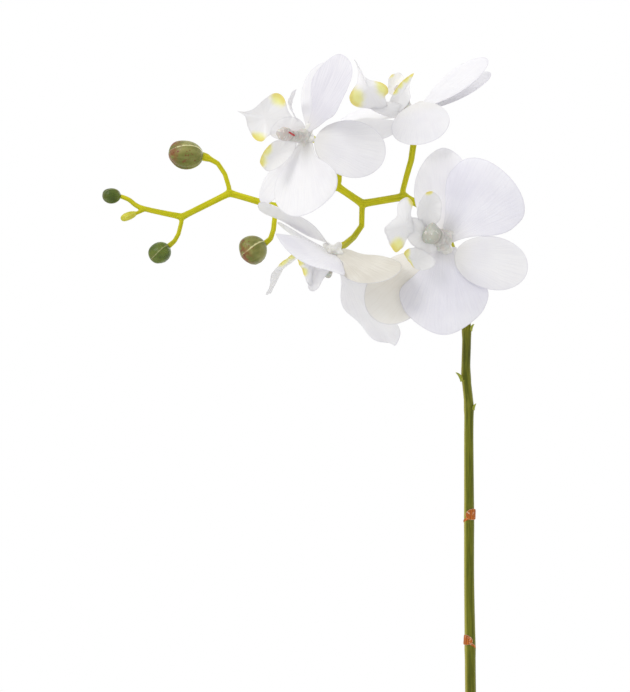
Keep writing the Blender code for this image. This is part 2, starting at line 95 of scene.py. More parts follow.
class Flow:
    """One value on its way through a node tree."""

    def __init__(self, board, socket):
        self.board, self.socket = board, socket

    def maths(self, operation, *others):
        return self.board.node("ShaderNodeMath", {"operation": operation}, dict(enumerate((self, *others))))

    def __add__(self, other):
        return self.maths("ADD", other)

    def __sub__(self, other):
        return self.maths("SUBTRACT", other)

    def __mul__(self, other):
        return self.maths("MULTIPLY", other)

    def __truediv__(self, other):
        return self.maths("DIVIDE", other)

    def __pow__(self, other):
        return self.maths("POWER", other)

    def __rsub__(self, other):
        return (self * -1) + other

    def __abs__(self):
        return self.maths("ABSOLUTE")

    __radd__ = __add__
    __rmul__ = __mul__

    def ramp(self, low, high):
        """0 at low, 1 at high, and a soft step between them."""
        values = {"Value": self, "From Min": low, "From Max": high}
        return self.board.node("ShaderNodeMapRange", {"interpolation_type": "SMOOTHSTEP"}, values)

    def near(self, middle, reach):
        """1 at the middle, falling softly to 0 at this distance from it."""
        return 1 - abs(self - middle).ramp(0, reach)

    def part(self, axis):
        return self.board.node("ShaderNodeSeparateXYZ", values={"Vector": self}, out=axis)

    def stretch(self, scale):
        values = {"Vector": self, "Vector_001": scale}
        return self.board.node("ShaderNodeVectorMath", {"operation": "MULTIPLY"}, values)

    def noise(self, scale, detail=3, rough=0.5):
        values = {"Vector": self, "Scale": scale, "Detail": detail, "Roughness": rough}
        return self.board.node("ShaderNodeTexNoise", values=values)

    def between(self, first, second):
        """The first colour where this is 0, and the second where it is 1."""
        values = {"Factor_Float": self, "A_Color": first, "B_Color": second}
        return self.board.node("ShaderNodeMix", {"data_type": "RGBA"}, values, out="Result_Color")

    def coat(self, share, colour):
        """This colour, with a share of another one over it."""
        return share.between(self, colour)


def even_rgb(hexed):
    """A colour as a maker writes it, in light that adds up."""
    shares = [int(hexed[i : i + 2], 16) / 255 for i in (0, 2, 4)]
    return tuple(s / 12.92 if s < 0.04045 else ((s + 0.055) / 1.055) ** 2.4 for s in shares)


class Board:
    """A node tree under construction."""

    def __init__(self, tree):
        self.tree = tree

    def node(self, kind, settings=None, values=None, out=0):
        made = self.tree.nodes.new(kind)
        for key, value in (settings or {}).items():
            setattr(made, key, value)
        for key, value in (values or {}).items():
            found = made.inputs[key] if isinstance(key, int) else self.find(made.inputs, key)
            if isinstance(value, Flow):
                self.tree.links.new(value.socket, found)
            elif found.type == "RGBA":
                found.default_value = (*(even_rgb(value) if isinstance(value, str) else value), 1)
            else:
                found.default_value = value
        return Flow(self, made.outputs[out] if isinstance(out, int) else self.find(made.outputs, out))

    @staticmethod
    def find(sockets, key):
        return next(s for s in sockets if key in (s.identifier, s.name))

    def given(self, name):
        """An input of the tree itself."""
        found = self.tree.nodes.get("Group Input") or self.tree.nodes.new("NodeGroupInput")
        return Flow(self, found.outputs[name])


class Finish(Board):
    """A material: one glossy shader whose even values are set at once, and whose varying ones are linked."""

    WORDS = {"bend": "IOR", "shine": "Specular IOR Level", "coat": "Coat Weight", "coat_rough": "Coat Roughness",
             "deep": "Subsurface Weight", "reach": "Subsurface Scale", "tinge": "Subsurface Radius",
             "sheen": "Sheen Weight", "rough": "Roughness"}

    def __init__(self, name, **even):
        self.material = bpy.data.materials.new(name)
        self.material.use_nodes = True
        super().__init__(self.material.node_tree)
        self.shader = self.tree.nodes["Principled BSDF"]
        for word, value in even.items():
            self.shader.inputs[self.WORDS[word]].default_value = value

    def vary(self, key, flow):
        self.tree.links.new(flow.socket, self.shader.inputs[key])

    def dress(self, colour, rough, height, depth, strength):
        """Links what varies. The light bends as if the surface rose by this height times this depth in metres."""
        self.vary("Base Color", colour)
        self.vary("Roughness", rough)
        values = {"Height": height, "Distance": depth, "Strength": strength}
        self.vary("Normal", self.node("ShaderNodeBump", values=values))

    def place(self):
        """Where a point is, in metres."""
        return self.node("ShaderNodeTexCoord", out="Object")

    def mark(self, name, out="Vector"):
        """What the mesh says about a point under this name."""
        return self.node("ShaderNodeAttribute", {"attribute_name": name}, out=out)

    def whole(self, x, y):
        return self.node("ShaderNodeCombineXYZ", values={"X": x, "Y": y})


# %% [markdown]
# ## World and lamps
#
# The world is white where the camera looks straight at it. Everywhere else it lights the plant: it is brightest
# behind the plant and at its sides, which makes thin petals glow and gives a round stem two bright edges.

# %% World
world = bpy.data.worlds.new("tent")
world.use_nodes = True
bpy.context.scene.world = world
tent = Board(world.node_tree)
direction = tent.node("ShaderNodeTexCoord", out="Generated")
ahead, upward = direction.part("Y"), direction.part("Z")
glow = 0.62 + ahead.ramp(-0.6, 0.7) * 0.36 + upward.ramp(-0.3, 1) * 0.14
seen = tent.node("ShaderNodeLightPath", out="Is Camera Ray")
back = tent.tree.nodes["Background"]
back.inputs["Color"].default_value = (1, 1, 1, 1)
tent.tree.links.new((seen + (1 - seen) * glow).socket, back.inputs["Strength"])


# %% Lamps
def lamp(name, place, aim, size, power, colour=(1, 1, 1)):
    data = bpy.data.lights.new(name, "AREA")
    data.shape, data.size, data.energy, data.color = "DISK", size, power, colour
    obj = stand(name, data)
    obj.location = place
    obj.rotation_euler = (Vector(aim) - Vector(place)).to_track_quat("-Z", "Y").to_euler()


MIDDLE = (-0.05, 0, 0.45)
lamp("key", (-1.1, -1.0, 1.5), MIDDLE, 0.9, 9.0, (1, 0.99, 0.97))
lamp("rim", (0.9, 1.1, 1.0), MIDDLE, 0.8, 5.0, (0.96, 0.97, 1))
print("two lamps and a tent")

# %% [markdown]
# ## The floor
#
# A wide pale disc for the pot to stand on. It isn't part of the plant.

# %% Floor
floor_finish = Finish("floor_pale", rough=0.9)
grey = floor_finish.place().noise(6, 4)
floor_finish.vary("Base Color", grey.between((0.80, 0.80, 0.80), (0.84, 0.84, 0.84)))
turns = np.linspace(0, 2 * math.pi, 97)[:-1]
floor_mesh = bpy.data.meshes.new("floor")
floor_mesh.from_pydata([(1.5 * math.cos(a), 1.5 * math.sin(a), 0) for a in turns], [], [range(96)])
floor_mesh.materials.append(floor_finish.material)
floor = stand("floor", floor_mesh)

# %% [markdown]
# ## Bodies from rings
#
# Petals, buds, leaves and the pot all have one thing in common: they can be skinned over rings of points that run
# from one end of the piece to the other, with one point to close each end. One helper does this for all of them.
# Each point carries two marks for the finishes to read: `flow`, its place along and across the piece in
# millimetres and the side it is on, and `edge`, which is 1 at the piece's rim.


# %% Rings to body
def add_piece(name, mesh, finish, slot, *stands_for):
    """A finished piece on the plant's one body, in place of the solids named."""
    mesh.materials.clear()
    mesh.materials.append(finish.material)
    mesh.shade_smooth()
    obj = stand(name, mesh)
    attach(obj, "root")
    if stands_for:
        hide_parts(*stands_for)
    return obj


def dress_solid(node, mesh, finish, slot):
    """A piece in place of one solid. It prints how far it reaches outside that solid's box."""
    piece = add_piece(f"{node}_visual", mesh, finish, slot, node)
    low, high = (np.array(corner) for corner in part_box(node))
    points = np.array([tuple(v.co) for v in mesh.vertices])
    over = np.concatenate([low - points.min(axis=0), points.max(axis=0) - high]).max()
    print(node, len(mesh.polygons), "faces; reaches", round(float(over) / MM, 2), "mm outside its solid's box")
    return piece


def set_marks(mesh, flow, edge):
    for name, kind, key, values in (("flow", "FLOAT_VECTOR", "vector", flow), ("edge", "FLOAT", "value", edge)):
        if name in mesh.attributes:
            mesh.attributes.remove(mesh.attributes[name])
        mesh.attributes.new(name, kind, "POINT").data.foreach_set(key, np.ravel(values).astype(np.float32))


def skin(name, rings, flow, edge, ends=None):
    """A closed mesh over rings of points in millimetres, in the order that makes it face outwards."""
    rows, count = rings.shape[:2]
    if ends is None:
        ends = rings[0].mean(axis=0), rings[-1].mean(axis=0)
    points = np.vstack([ends[0], rings.reshape(-1, 3), ends[1]])
    flow = np.vstack([flow[0].mean(axis=0), flow.reshape(-1, 3), flow[-1].mean(axis=0)])
    edge = np.concatenate([[edge[0].mean()], edge.ravel(), [edge[-1].mean()]])
    last = len(points) - 1
    i = np.arange(count)
    j = (i + 1) % count
    quads = []
    for r in range(rows - 1):
        low, high = 1 + r * count, 1 + (r + 1) * count
        quads.append(np.stack([low + i, low + j, high + j, high + i], axis=1))
    quads = np.concatenate(quads)
    first_fan = np.stack([0 * i, 1 + j, 1 + i], 1)
    fans = np.concatenate([first_fan, np.stack([0 * i + last, last - count + i, last - count + j], 1)])
    a, b, c, d = (points[quads[:, k]] for k in range(4))
    volume = np.einsum("ij,ij->", a, np.cross(b, c)) + np.einsum("ij,ij->", a, np.cross(c, d))
    if volume < 0:
        quads, fans = quads[:, ::-1], fans[:, ::-1]
    mesh = bpy.data.meshes.new(name)
    mesh.from_pydata((points * MM).tolist(), [], quads.tolist() + fans.tolist())
    set_marks(mesh, flow, edge)
    return mesh


def unit(vector):
    vector = np.array(vector, float)
    return vector / np.linalg.norm(vector)


def units(rows):
    return rows / np.linalg.norm(rows, axis=1, keepdims=True)


def walked(points):
    """How far along a line each of its points is."""
    return np.concatenate([[0], np.cumsum(np.linalg.norm(np.diff(points, axis=0), axis=1))])


def aimed(towards, face):
    """Three axes: the first runs this way, and the third is as near as it can be to the face."""
    x_axis, face = unit(towards), np.array(face, float)
    z_axis = unit(face - x_axis * (face @ x_axis))
    return np.array([x_axis, np.cross(z_axis, x_axis), z_axis])


# %% [markdown]
# ## A blade
#
# A petal and a leaf are the same kind of thing, a blade: a thin sheet that leaves its root, widens, and curls. The
# sheet's middle line is bent first, the width is laid across it, and the edges are cupped. The blade is thickest
# at its root and thins out towards a rounded rim.


# %% Blade
def curve_points(padded, per_span):
    """Points on a curve through all of these but the first and the last."""
    found = []
    for a, b, c, d in zip(padded, padded[1:], padded[2:], padded[3:]):
        for t in np.arange(per_span) / per_span:
            bend = (2 * a - 5 * b + 4 * c - d) * t**2 + (3 * b - a - 3 * c + d) * t**3
            found.append(0.5 * (2 * b + (c - a) * t + bend))
    return found


def smooth_route(points, per_span):
    """Points on a curve through the given ones; whatever else each point holds rides along."""
    route = np.array(points, float)
    padded = np.vstack([2 * route[0] - route[1], route, 2 * route[-1] - route[-2]])
    return np.array(curve_points(padded, per_span) + [route[-1]])


def arc(length, lift, curl):
    """Places and slopes along a line that leaves at an angle and curls evenly."""
    steps = 128
    shares = np.linspace(0, 1, steps + 1)
    slope = np.radians(lift + curl * shares)
    middle = (slope[1:] + slope[:-1]) / 2
    run, rise = (np.concatenate([[0], np.cumsum(wave(middle))]) * length / steps for wave in (np.cos, np.sin))
    return shares, run, rise, slope


def blade_sheet(u, v, length, width, widest=1.3, blunt=0.5, claw=0, lift=None, curl=0, cup=0, twist=0, keel=0,
                root=3, ruffle=0, waves=5, phase=0, wobble=0, lean=0, outline=None):
    """Points of a bent sheet for shares u along it and v across it, and their flat places along and across."""
    fullness = (4 * u**widest * (1 - u**widest)).clip(0) ** blunt * (1 - claw * np.exp(-((u / 0.3) ** 2)))
    if outline:
        table = smooth_route([(*pair, 0, 0) for pair in outline], 8)
        fullness = np.interp(u, table[:, 0], table[:, 1]) * np.sqrt(1 - ((u - 0.7) / 0.3).clip(0, 1) ** 2)
    x, y = 2 * u - 1, v * np.sqrt(u * (1 - u)) * 2
    around = np.arctan2(y, x)
    rim = (x * x + y * y) ** 2
    fullness = fullness * (1 + wobble * np.sin(3 * around + 2 * phase) + wobble * 0.6 * np.sin(5 * around + phase))
    across = width / 2 * fullness * (v + lean * (1 - v * v) * u)
    shares, run, rise, slope = arc(length, -curl / 2 if lift is None else lift, curl)
    mid_x, mid_z, slope_u = (np.interp(u, shares, column) for column in (run, rise, slope))
    bow = math.radians(cup) / (width / 2) if cup else 1e-6
    side, out = np.sin(bow * across) / bow, (1 - np.cos(bow * across)) / bow
    out = out + keel * (np.sqrt(across**2 + 4) - 2) + ruffle * rim * np.sin(waves * around + phase)
    turn = np.radians(twist) * u
    side, out = side * np.cos(turn) - out * np.sin(turn), side * np.sin(turn) + out * np.cos(turn)
    points = np.stack([root + mid_x - out * np.sin(slope_u), side, mid_z + out * np.cos(slope_u)], axis=-1)
    return points, u * length, across, rim


def thicken(points, half):
    """The front and back of a sheet of points, as rings that meet at its rim."""
    du, dv = np.gradient(points, axis=0), np.gradient(points, axis=1)
    normal = np.cross(du, dv)
    normal /= np.linalg.norm(normal, axis=-1, keepdims=True) + 1e-9
    step = normal * half[..., None]
    return both_sides(points + step, points - step)


def both_sides(front, back):
    return np.concatenate([front, back[:, -2:0:-1]], axis=1)


def blade_mesh(name, axes, origin, thickness, rows=44, columns=27, **shape):
    """A closed blade on its frame: the origin and axes of its root."""
    s = np.linspace(0, 1, rows)
    u, v = np.meshgrid((1 - np.cos(math.pi * s)) / 2, np.linspace(-1, 1, columns), indexing="ij")
    v = np.sin(v * math.pi / 2)
    sheet, along, across, rim = blade_sheet(u, v, **shape)
    body = np.sqrt((1 - np.abs(v) ** 5).clip(0)) * np.sqrt((1 - u**10).clip(0)) * (1.35 - 0.7 * u)
    rings = thicken(np.array(origin, float) + sheet @ axes, thickness / 2 * body)
    flow = np.stack([along, across, np.ones_like(u)], axis=-1)
    ends = np.array(origin, float) + sheet[[0, -1], 0] @ axes
    flow = both_sides(flow, flow * (1, 1, -1))
    return skin(name, rings[1:-1], flow[1:-1], both_sides(rim, rim)[1:-1], ends)


# %% [markdown]
# ## The petal finish
#
# A moth orchid's petals are white with a cool, silky look. Light passes a little way into them, which is what the
# subsurface share is for. Veins spread from the claw like a fan: dividing the distance across by the distance along
# gives an angle, and a noise stretched along that angle gives soft streaks that fork. The rim is thin, and it is
# painted a touch darker: painted shade.


# %% Petal finish
def tepal_finish(name, pale, shade, depth=1.0):
    made = Finish(name, deep=0.28, reach=0.003, tinge=(1.0, 0.95, 0.9), sheen=0.15, bend=1.4)
    flow = made.mark("flow")
    along, across = flow.part("X"), flow.part("Y")
    fan = across / (along + 9)
    drift = made.whole(along * 0.05, across * 0.05).noise(2.0, 2) - 0.5
    veins = made.whole((fan + drift * 0.05) * 46, along * 0.05).noise(1.0, 3, 0.6)
    broad = made.place().noise(42, 2)
    grain = made.place().noise(1400, 2)
    lines = veins.ramp(0.46, 0.64) * (1 - along.ramp(25, 60) * 0.5)
    edge = made.mark("edge", "Fac")
    colour = (broad.ramp(0.35, 0.7) * 0.5).between(pale, shade)
    colour = colour.coat(lines * 0.28 * depth, shade)
    # Painted shade: the rim is painted a touch darker.
    colour = colour.coat(edge.ramp(0.86, 1.0) * 0.55, "cfccd9")
    colour = colour.coat((1 - along.ramp(1, 14)) * 0.3, "eeebdc")
    made.dress(colour, 0.42 + grain * 0.2, veins * 0.6 + grain * 0.05, 0.0006, 0.6)
    return made


# The lavender, shaded and cream finishes are darker copies of the white one, given to tepals that turn away from the
# lamps: painted shade. The cream one also carries the tepal's own warm tint.
TEPAL_FINISHES = {
    "white": tepal_finish("tepal_white", "f6f5f8", "e6e4ec"),
    "shade_lavender": tepal_finish("tepal_lavender", "f1f0f8", "dedcea", 1.2),
    "shaded": tepal_finish("tepal_shaded", "e9e7ee", "cfcdd9", 1.8),
    "shade_cream": tepal_finish("tepal_cream", "e8e4db", "ccc5b8", 1.3),
    "ivory": tepal_finish("tepal_ivory", "f6f3ec", "eae4da", 1.1),
}
print(len(TEPAL_FINISHES), "petal finishes")

# %% [markdown]
# ## Where the flowers are
#
# Each open flower has three sepals and two petals about its middle, a lip and a column. The numbers are in
# millimetres: the middle of the flower, the way it looks, the tip of each tepal from the middle, and how each one is
# bent. They began as the solid model's and many were refined here, so a petal may stray a little from its solid.
# Ruffles, wobbles and the lobes of the lips are drawn only here, because they are too fine for the solids.

# %% Flower table
# The outlines give a petal's width as a share of its greatest, at shares of its length.
FAN = ((0, 0.18), (0.1, 0.28), (0.2, 0.42), (0.3, 0.62), (0.4, 0.82), (0.5, 0.95), (0.6, 1), (0.8, 1), (1, 0.96))
PADDLE = ((0, 0.2), (0.1, 0.3), (0.2, 0.38), (0.28, 0.5), (0.36, 0.74), (0.45, 0.92), (0.56, 1), (0.68, 0.98),
          (0.8, 0.9), (0.9, 0.82), (1, 0.75))
WEDGE = ((0, 0.3), (0.1, 0.33), (0.19, 0.4), (0.28, 0.56), (0.36, 0.75), (0.43, 0.92), (0.5, 1), (0.6, 0.98),
         (0.72, 0.88), (0.8, 0.8), (0.9, 0.7), (1, 0.6))
STRAP = ((0, 0.2), (0.12, 0.32), (0.25, 0.6), (0.38, 0.9), (0.5, 1), (0.62, 0.95), (0.75, 0.84), (0.87, 0.74), (1, 0.6))
FLOWERS = {
    "flower_1": dict(
        centre=(-9, -34, 486.5), gaze=(-0.35, -0.9, 0.2), lip_start=(-16, -14, 6), column=(-9.4, -17, 4.4), girth=1.06,
        tepals={
            "dorsal_sepal": dict(start=(5.6, -5, -7.6), tip=(46, -3, -16.5), face=(-0.1, -1, 0.1), width=29.5,
                 widest=1.05, curl=-10, cup=12, wobble=0.012, layer=0),
            "left_petal": dict(tip=(34, -8, 37.5), face=(-0.15, -1, 0.1), width=48, curl=12, cup=-8, outline=FAN,
                 lean=0.06, ruffle=1.2, waves=3, phase=1, wobble=0.02, tone="shade_lavender"),
            "right_petal": dict(tip=(0, -8, -52), face=(0, -1, -0.1), width=49, curl=-14, cup=-10, outline=WEDGE,
                 ruffle=1.0, waves=3, phase=2, wobble=0.015, tone="shade_lavender"),
            "left_sepal": dict(tip=(-0.5, 12, 52.5), face=(-0.2, -1, 0), width=33, widest=0.95, blunt=0.6, claw=0.1,
                 curl=-8, cup=8),
            "right_sepal": dict(tip=(-40, -1, -42), face=(-0.1, -1, 0.1), width=34, claw=0.4, curl=-8, cup=8,
                 tone="ivory"),
        },
    ),
    "flower_2": dict(
        centre=(-85, -34, 544.7), gaze=(-0.7, -0.7, 0.1), lip_start=(-9, -3, 8.5), column=(-14.6, -20, 0.8), girth=0.74,
        tepals={
            "dorsal_sepal": dict(start=(4.6, -6, -3), tip=(43.5, -8, -12), face=(-0.2, -1, 0.1), width=31.5,
                 widest=1.1, curl=-10, cup=8, wobble=0.015, layer=0),
            "left_petal": dict(tip=(23.5, -14, 42), face=(-0.85, -0.5, 0.3), width=44, curl=14, cup=14, outline=PADDLE,
                 ruffle=1.0, waves=4, phase=0.5, wobble=0.015, tone="shaded"),
            "right_petal": dict(tip=(-1.5, -12, -45), face=(-0.6, -0.8, 0), width=44, curl=-10, cup=-14,
                 outline=PADDLE, ruffle=0.8, waves=3, phase=1.5, wobble=0.01),
            "left_sepal": dict(tip=(11, 17, 42), face=(-0.35, -0.9, 0), width=20, claw=0.3, curl=-8, cup=8),
            "right_sepal": dict(tip=(-25.5, 14, -36.5), face=(-0.35, -0.9, 0), width=13, widest=1.4, claw=0.6, curl=-8,
                 cup=8),
        },
    ),
    "flower_3": dict(
        centre=(-28, 0, 559), gaze=(-0.45, 0.1, 0.88), lip_start=(-15, -6, 2), column=(-6, 6, 15.5), girth=0.7,
        tepals={
            "dorsal_sepal": dict(tip=(44, 8, 32.5), face=(-0.45, -0.5, 0.75), width=27, claw=0.7, curl=14, cup=10),
            "left_petal": dict(tip=(45, 20, 27), face=(-0.5, -0.5, 0.75), width=25, claw=0.8, curl=10, cup=8,
                 layer=-2.6),
            "right_petal": dict(start=(6, -5, 5.5), tip=(7, -33, -19), face=(-0.19, -0.75, 0.6), width=33, widest=1.0,
                 curl=-10, cup=-10, layer=0, wobble=0.015),
            "left_sepal": dict(tip=(-35, 31, 2), face=(-0.1, -0.42, 0.9), width=30, claw=0.5, curl=-8, cup=8,
                 layer=-1.5),
            "right_sepal": dict(tip=(-36, -21, -12), face=(0.1, -0.45, 0.9), width=28, claw=0.8, curl=-8, cup=8,
                 layer=-3.6),
        },
    ),
    "flower_4": dict(
        centre=(-69, -24, 481.5), gaze=(-0.55, -0.15, -0.82), lip_start=(-17, -3, -3), column=(-7, -3, -13), girth=0.85,
        tepals={
            "dorsal_sepal": dict(tip=(-44, 7, 25), face=(-0.45, -0.3, -0.85), width=24, claw=0.4, curl=34, cup=12,
                 ruffle=0.8, waves=4),
            "left_petal": dict(tip=(-21, -42, -3), face=(-0.44, 0.3, -0.85), width=45, claw=0.35, blunt=0.42, curl=-8,
                 cup=-8, ruffle=0.9, waves=4, phase=2, tone="shade_lavender"),
            "right_petal": dict(tip=(-21, 42, 9), face=(-0.4, -0.25, -0.9), width=46, claw=0.6, curl=-8, cup=-8),
            "left_sepal": dict(tip=(31, -35, -16), face=(0, 0.6, -0.8), width=32, outline=PADDLE, curl=-8, cup=8,
                 ruffle=0.5, waves=3, tone="shade_cream"),
            "right_sepal": dict(tip=(33, 15, -53), face=(-0.55, -0.8, -0.2), width=29, outline=STRAP, curl=-8, cup=8,
                 ruffle=1.6, waves=7, phase=0.6, wobble=0.02),
        },
    ),
}
LIPS = {  # for each lobe: its bulge, its blushes as x, y, z and reach, and the points of its rim
    "flower_1": (
        (-2.5, ((-18, -18, 21.5, 4), (-26.5, -26, -4.5, 6.5)), ((-16, -15, 5), (-18.5, -16, 14), (-17.8, -18, 20.5),
          (-20.8, -20, 23.6), (-25.6, -22, 20.5), (-26.8, -25, 13), (-31, -31, 9), (-33.4, -34, 5.6), (-31.5, -31, 0),
          (-27.6, -27, -6.6), (-23.4, -22, -4), (-20, -18, 2))),
        (3, ((-8.5, -16, 27, 3),), ((-12.6, -12, 8.5), (-14.9, -14, 13), (-15, -16, 17.5), (-12.6, -17, 23.6),
          (-8.7, -16, 27), (-5, -14, 26), (-1.8, -12, 21.5), (-1.8, -11, 15), (-3.2, -10, 10.5), (-7.6, -10, 8))),
        (3, ((-22, -21, -7, 4.5), (-19.5, -22, -12.5, 3.5)), ((-22.6, -22, -7.2), (-19.8, -19, -4.4), (-14.5, -14, -4),
          (-8.7, -12, -7), (-5, -13, -11), (-7, -15, -14.8), (-12.3, -18, -16.4), (-17.2, -21, -14.8),
          (-20.6, -23, -10.6))),
        (-1.5, (), ((-20.1, -18, 12), (-14.5, -13, 12.4), (-6.7, -5, 9.6), (-2, -1, 4), (-1.5, -1, -3),
          (-6.7, -5, -6.6), (-13.4, -12, -5.6), (-20, -18, 0), (-22, -21, 6))),
    ),
    "flower_2": (
        (2.5, ((-14.5, -2, 21.5, 5.8), (-26.5, -8, -2.4, 5.2)), ((-8, -2, 9.5), (-10, -2, 14), (-12, -2, 20.5),
          (-15, -2, 23.2), (-19, -3, 22.8), (-24, -4, 19), (-29, -5, 14.6), (-34, -6, 12.9), (-38, -7, 13.3),
          (-33.6, -7, 10.2), (-31.8, -7, 3.8), (-28.4, -8, -2), (-24.2, -8, -3.6), (-20.6, -7, -0.4), (-14.5, -4, 3))),
        (3, ((-21.5, -10, -8, 4.6), (-24.8, -11, -14, 4.6)), ((-5.6, -4, -3.6), (-11.7, -6, -3), (-17, -8, -3.2),
          (-21.7, -10, -7.2), (-24.8, -11, -12.4), (-25, -11, -16), (-21.7, -11, -19.8), (-17.2, -10, -19.2),
          (-11.5, -8, -15), (-6.6, -5, -9))),
        (1.5, (), ((-4.6, -2, 8), (-7.4, -2, 12.5), (-9.8, -2, 18), (-8.4, -2, 22.8), (-5.6, -1, 25.6), (-6.6, 4, 22),
          (-8, 6, 16.5), (-6, 4, 11))),
        (-1, (), ((-1, -1, -3), (-8, -3, -4), (-14, -5, -3), (-20, -6, 1), (-16, -4, 8), (-9, -2, 10.5), (-3, -1, 8.5),
          (0, 0, 3))),
    ),
    "flower_3": (
        (-2.5, ((-13.5, -7, 14.5, 6.2), (-31, -11.5, 7.5, 6.8)), ((-13.8, -6, 0.8), (-11.6, -6, 4), (-13, -7, 8.8),
          (-11.2, -7, 11), (-11.8, -7, 14.4), (-15.5, -8, 17), (-22, -9, 18.4), (-25.4, -9, 21.4), (-26.8, -10, 25.4),
          (-30.4, -12, 29.6), (-28.3, -10, 24), (-28.6, -10, 17.4), (-31.2, -11, 12.6), (-33, -12, 8.6),
          (-32, -12, 5.2), (-28.6, -10, 3), (-22, -8, 2.2))),
        (1.5, ((-7.6, -2, 13, 3), (-4.8, -1, 16.2, 3), (-1.5, 0, 19.6, 3), (2.2, 1, 22.2, 2.6)), ((-11, -4, 3),
          (-9.2, -3, 9.5), (-5.2, -1, 16), (-1.5, 0, 19.7), (3.2, 1, 22.6), (1.4, 1, 18), (0.8, 0, 13.5),
          (1.3, -1, 8.5), (-1.5, -3, 3.4), (-6, -4, 0.6))),
        (-1.5, (), ((0, 0, -2), (-8, -3, -2.8), (-15, -6, -1), (-21, -8, 2.4), (-15, -6, 5.4), (-9, -4, 6.4),
          (-2, -1, 4))),
        (2, ((-9, 6, 22, 2.5),), ((-10.8, 4, 12), (-11, 6, 17.5), (-10.2, 7, 21), (-7.2, 8, 23), (-4.2, 8, 23.3),
          (-2.2, 7, 20.6), (-3.8, 5, 16.8), (-7, 3, 11))),
    ),
    "flower_4": (
        (0.5, ((-24, -9, -2.6, 3.6), (-28.5, -9, -6, 4)), ((-17.5, -8, -0.6), (-22.6, -10, -1.6), (-26.8, -10, -4.4),
          (-31.4, -9, -8.4), (-34.2, -8, -11.6), (-35.8, -7, -15.6), (-36.4, -6, -21), (-38.4, -5, -24.2),
          (-35.2, -4, -23), (-34, -1, -18.3), (-33.2, 2, -13.5), (-29, 4, -8.8), (-24.4, 4, -5.6), (-19.6, 2, -3.2))),
        (-2, ((-19.8, -12.5, -6, 3.4), (-17.8, -13, -12, 3)), ((-21, -12, -3.6), (-17.8, -10, -3), (-14, -7, -4),
          (-11.6, -6, -8), (-12.3, -8, -14), (-13.2, -10, -20.5), (-16, -12, -16.8), (-17.8, -13, -11.7),
          (-20, -13, -7.3))),
        (2.5, (), ((-14.5, -8, -3), (-8, -8, -3.6), (-2.4, -8, -5.6), (-2.8, -9, -10.5), (-6.6, -10, -16),
          (-9.4, -11, -21), (-12.8, -12, -22.6), (-15, -12, -20), (-13.8, -11, -13.5), (-13.8, -9, -8))),
        (1, (), ((1, 0, -1), (-6, -3, -1), (-14, -6, -1.4), (-19, -8, -3.4), (-14, -6, -7), (-6, -4, -6),
          (0, -2, -4))),
    ),
}

# %% [markdown]
# ## Sepals and petals
#
# Each tepal is a blade that starts at the middle of its flower. Petals lie on the front of the sepals, as they do
# in the bud. A printed line says how far each finished tepal reaches outside its solid's box.


# %% Tepals
def make_tepals(name, centre, gaze, tepals):
    for part, shape in tepals.items():
        shape = dict(shape)
        tip, face, tone = np.array(shape.pop("tip"), float), shape.pop("face"), shape.pop("tone", "white")
        layer = shape.pop("layer", 1.0 if "petal" in part else -1.0)
        start = np.array(shape.pop("start", unit(tip) * 3), float)
        origin = np.array(centre, float) + start + unit(gaze) * layer
        node = f"{name}_{part}"
        length = np.linalg.norm(tip - start)
        mesh = blade_mesh(node, aimed(tip - start, face), origin, 0.75, length=length, root=0, **shape)
        dress_solid(node, mesh, TEPAL_FINISHES[tone], "tepal_white")


for flower_name, spec in FLOWERS.items():
    make_tepals(flower_name, spec["centre"], spec["gaze"], spec["tepals"])

# %% [markdown]
# ## The lip
#
# The lip is the third petal, and the most worked one: a middle lobe that runs forward between two shoulders, and two
# side lobes that stand up beside the column. No two lips stand alike, so each lobe is drawn by a few points on its
# rim. A smooth closed curve through them is its outline, and the sheet between is stretched to its middle and cupped.
# The mark `edge` grows to 1 at the rim, and the first part of `flow` is the yellow blush round chosen points.

# %% Lobe shape
def closed_curve(points, count):
    """Even points on a smooth closed curve through the given ones."""
    given = np.array(points, float)
    found = curve_points(np.vstack([given[-1], given, given[0], given[1]]), 12)
    found = np.array(found + [found[0]])
    length = walked(found)
    even = np.linspace(0, length[-1], count, endpoint=False)
    return np.stack([np.interp(even, length, found[:, k]) for k in range(3)], axis=-1)


def lobe_mesh(name, centre, bulge, yellow, rim, rows=18, count=110, thickness=0.7):
    """Rings about the lobe's middle: its front from the middle out, and then its back."""
    rim = closed_curve(rim, count)
    middle = rim.mean(axis=0)
    spokes = rim - middle
    normal = unit(np.cross(spokes, np.roll(spokes, -1, axis=0)).sum(axis=0))
    normal = normal if normal[1] < 0 else -normal
    radius = np.sin(np.linspace(0, 1, rows) * math.pi / 2)[1:, None]
    turn = np.linspace(0, 2 * math.pi, count, endpoint=False)
    sheet = middle + spokes * radius[..., None] + normal * (-bulge * (1 - radius**2))[..., None]
    wave = 0.22 * radius**4 * np.sin(9 * turn + bulge) + 0.08 * radius**6 * np.sin(23 * turn)
    sheet = sheet + normal * wave[..., None]
    half = thickness / 2 * np.sqrt((1 - radius**6).clip(0)) * (1.3 - 0.6 * radius)
    step = normal * half[..., None]
    rings = np.concatenate([sheet + step, (sheet - step)[-2::-1]])
    blush = np.zeros(sheet.shape[:2])
    for *spot, reach in yellow:
        blush = np.maximum(blush, np.exp(-((np.linalg.norm(sheet - spot, axis=-1) / reach) ** 2)))
    across = np.linalg.norm(spokes, axis=1) * radius
    flow = np.stack([blush, across, 0 * across + turn], axis=-1)
    edge = np.broadcast_to(radius, sheet.shape[:2])
    flow, edge = (np.concatenate([marks, marks[-2::-1]]) for marks in (flow, edge))
    return skin(name, rings + np.array(centre, float), flow, edge)


# %% [markdown]
# ## The lip finish
#
# It is the petals' white, with lemon yellow on the shoulders of the middle lobe and along the fronts of the side
# lobes, deepest at the very rim, where it turns a little tawny. The blush that each lobe was given says where.

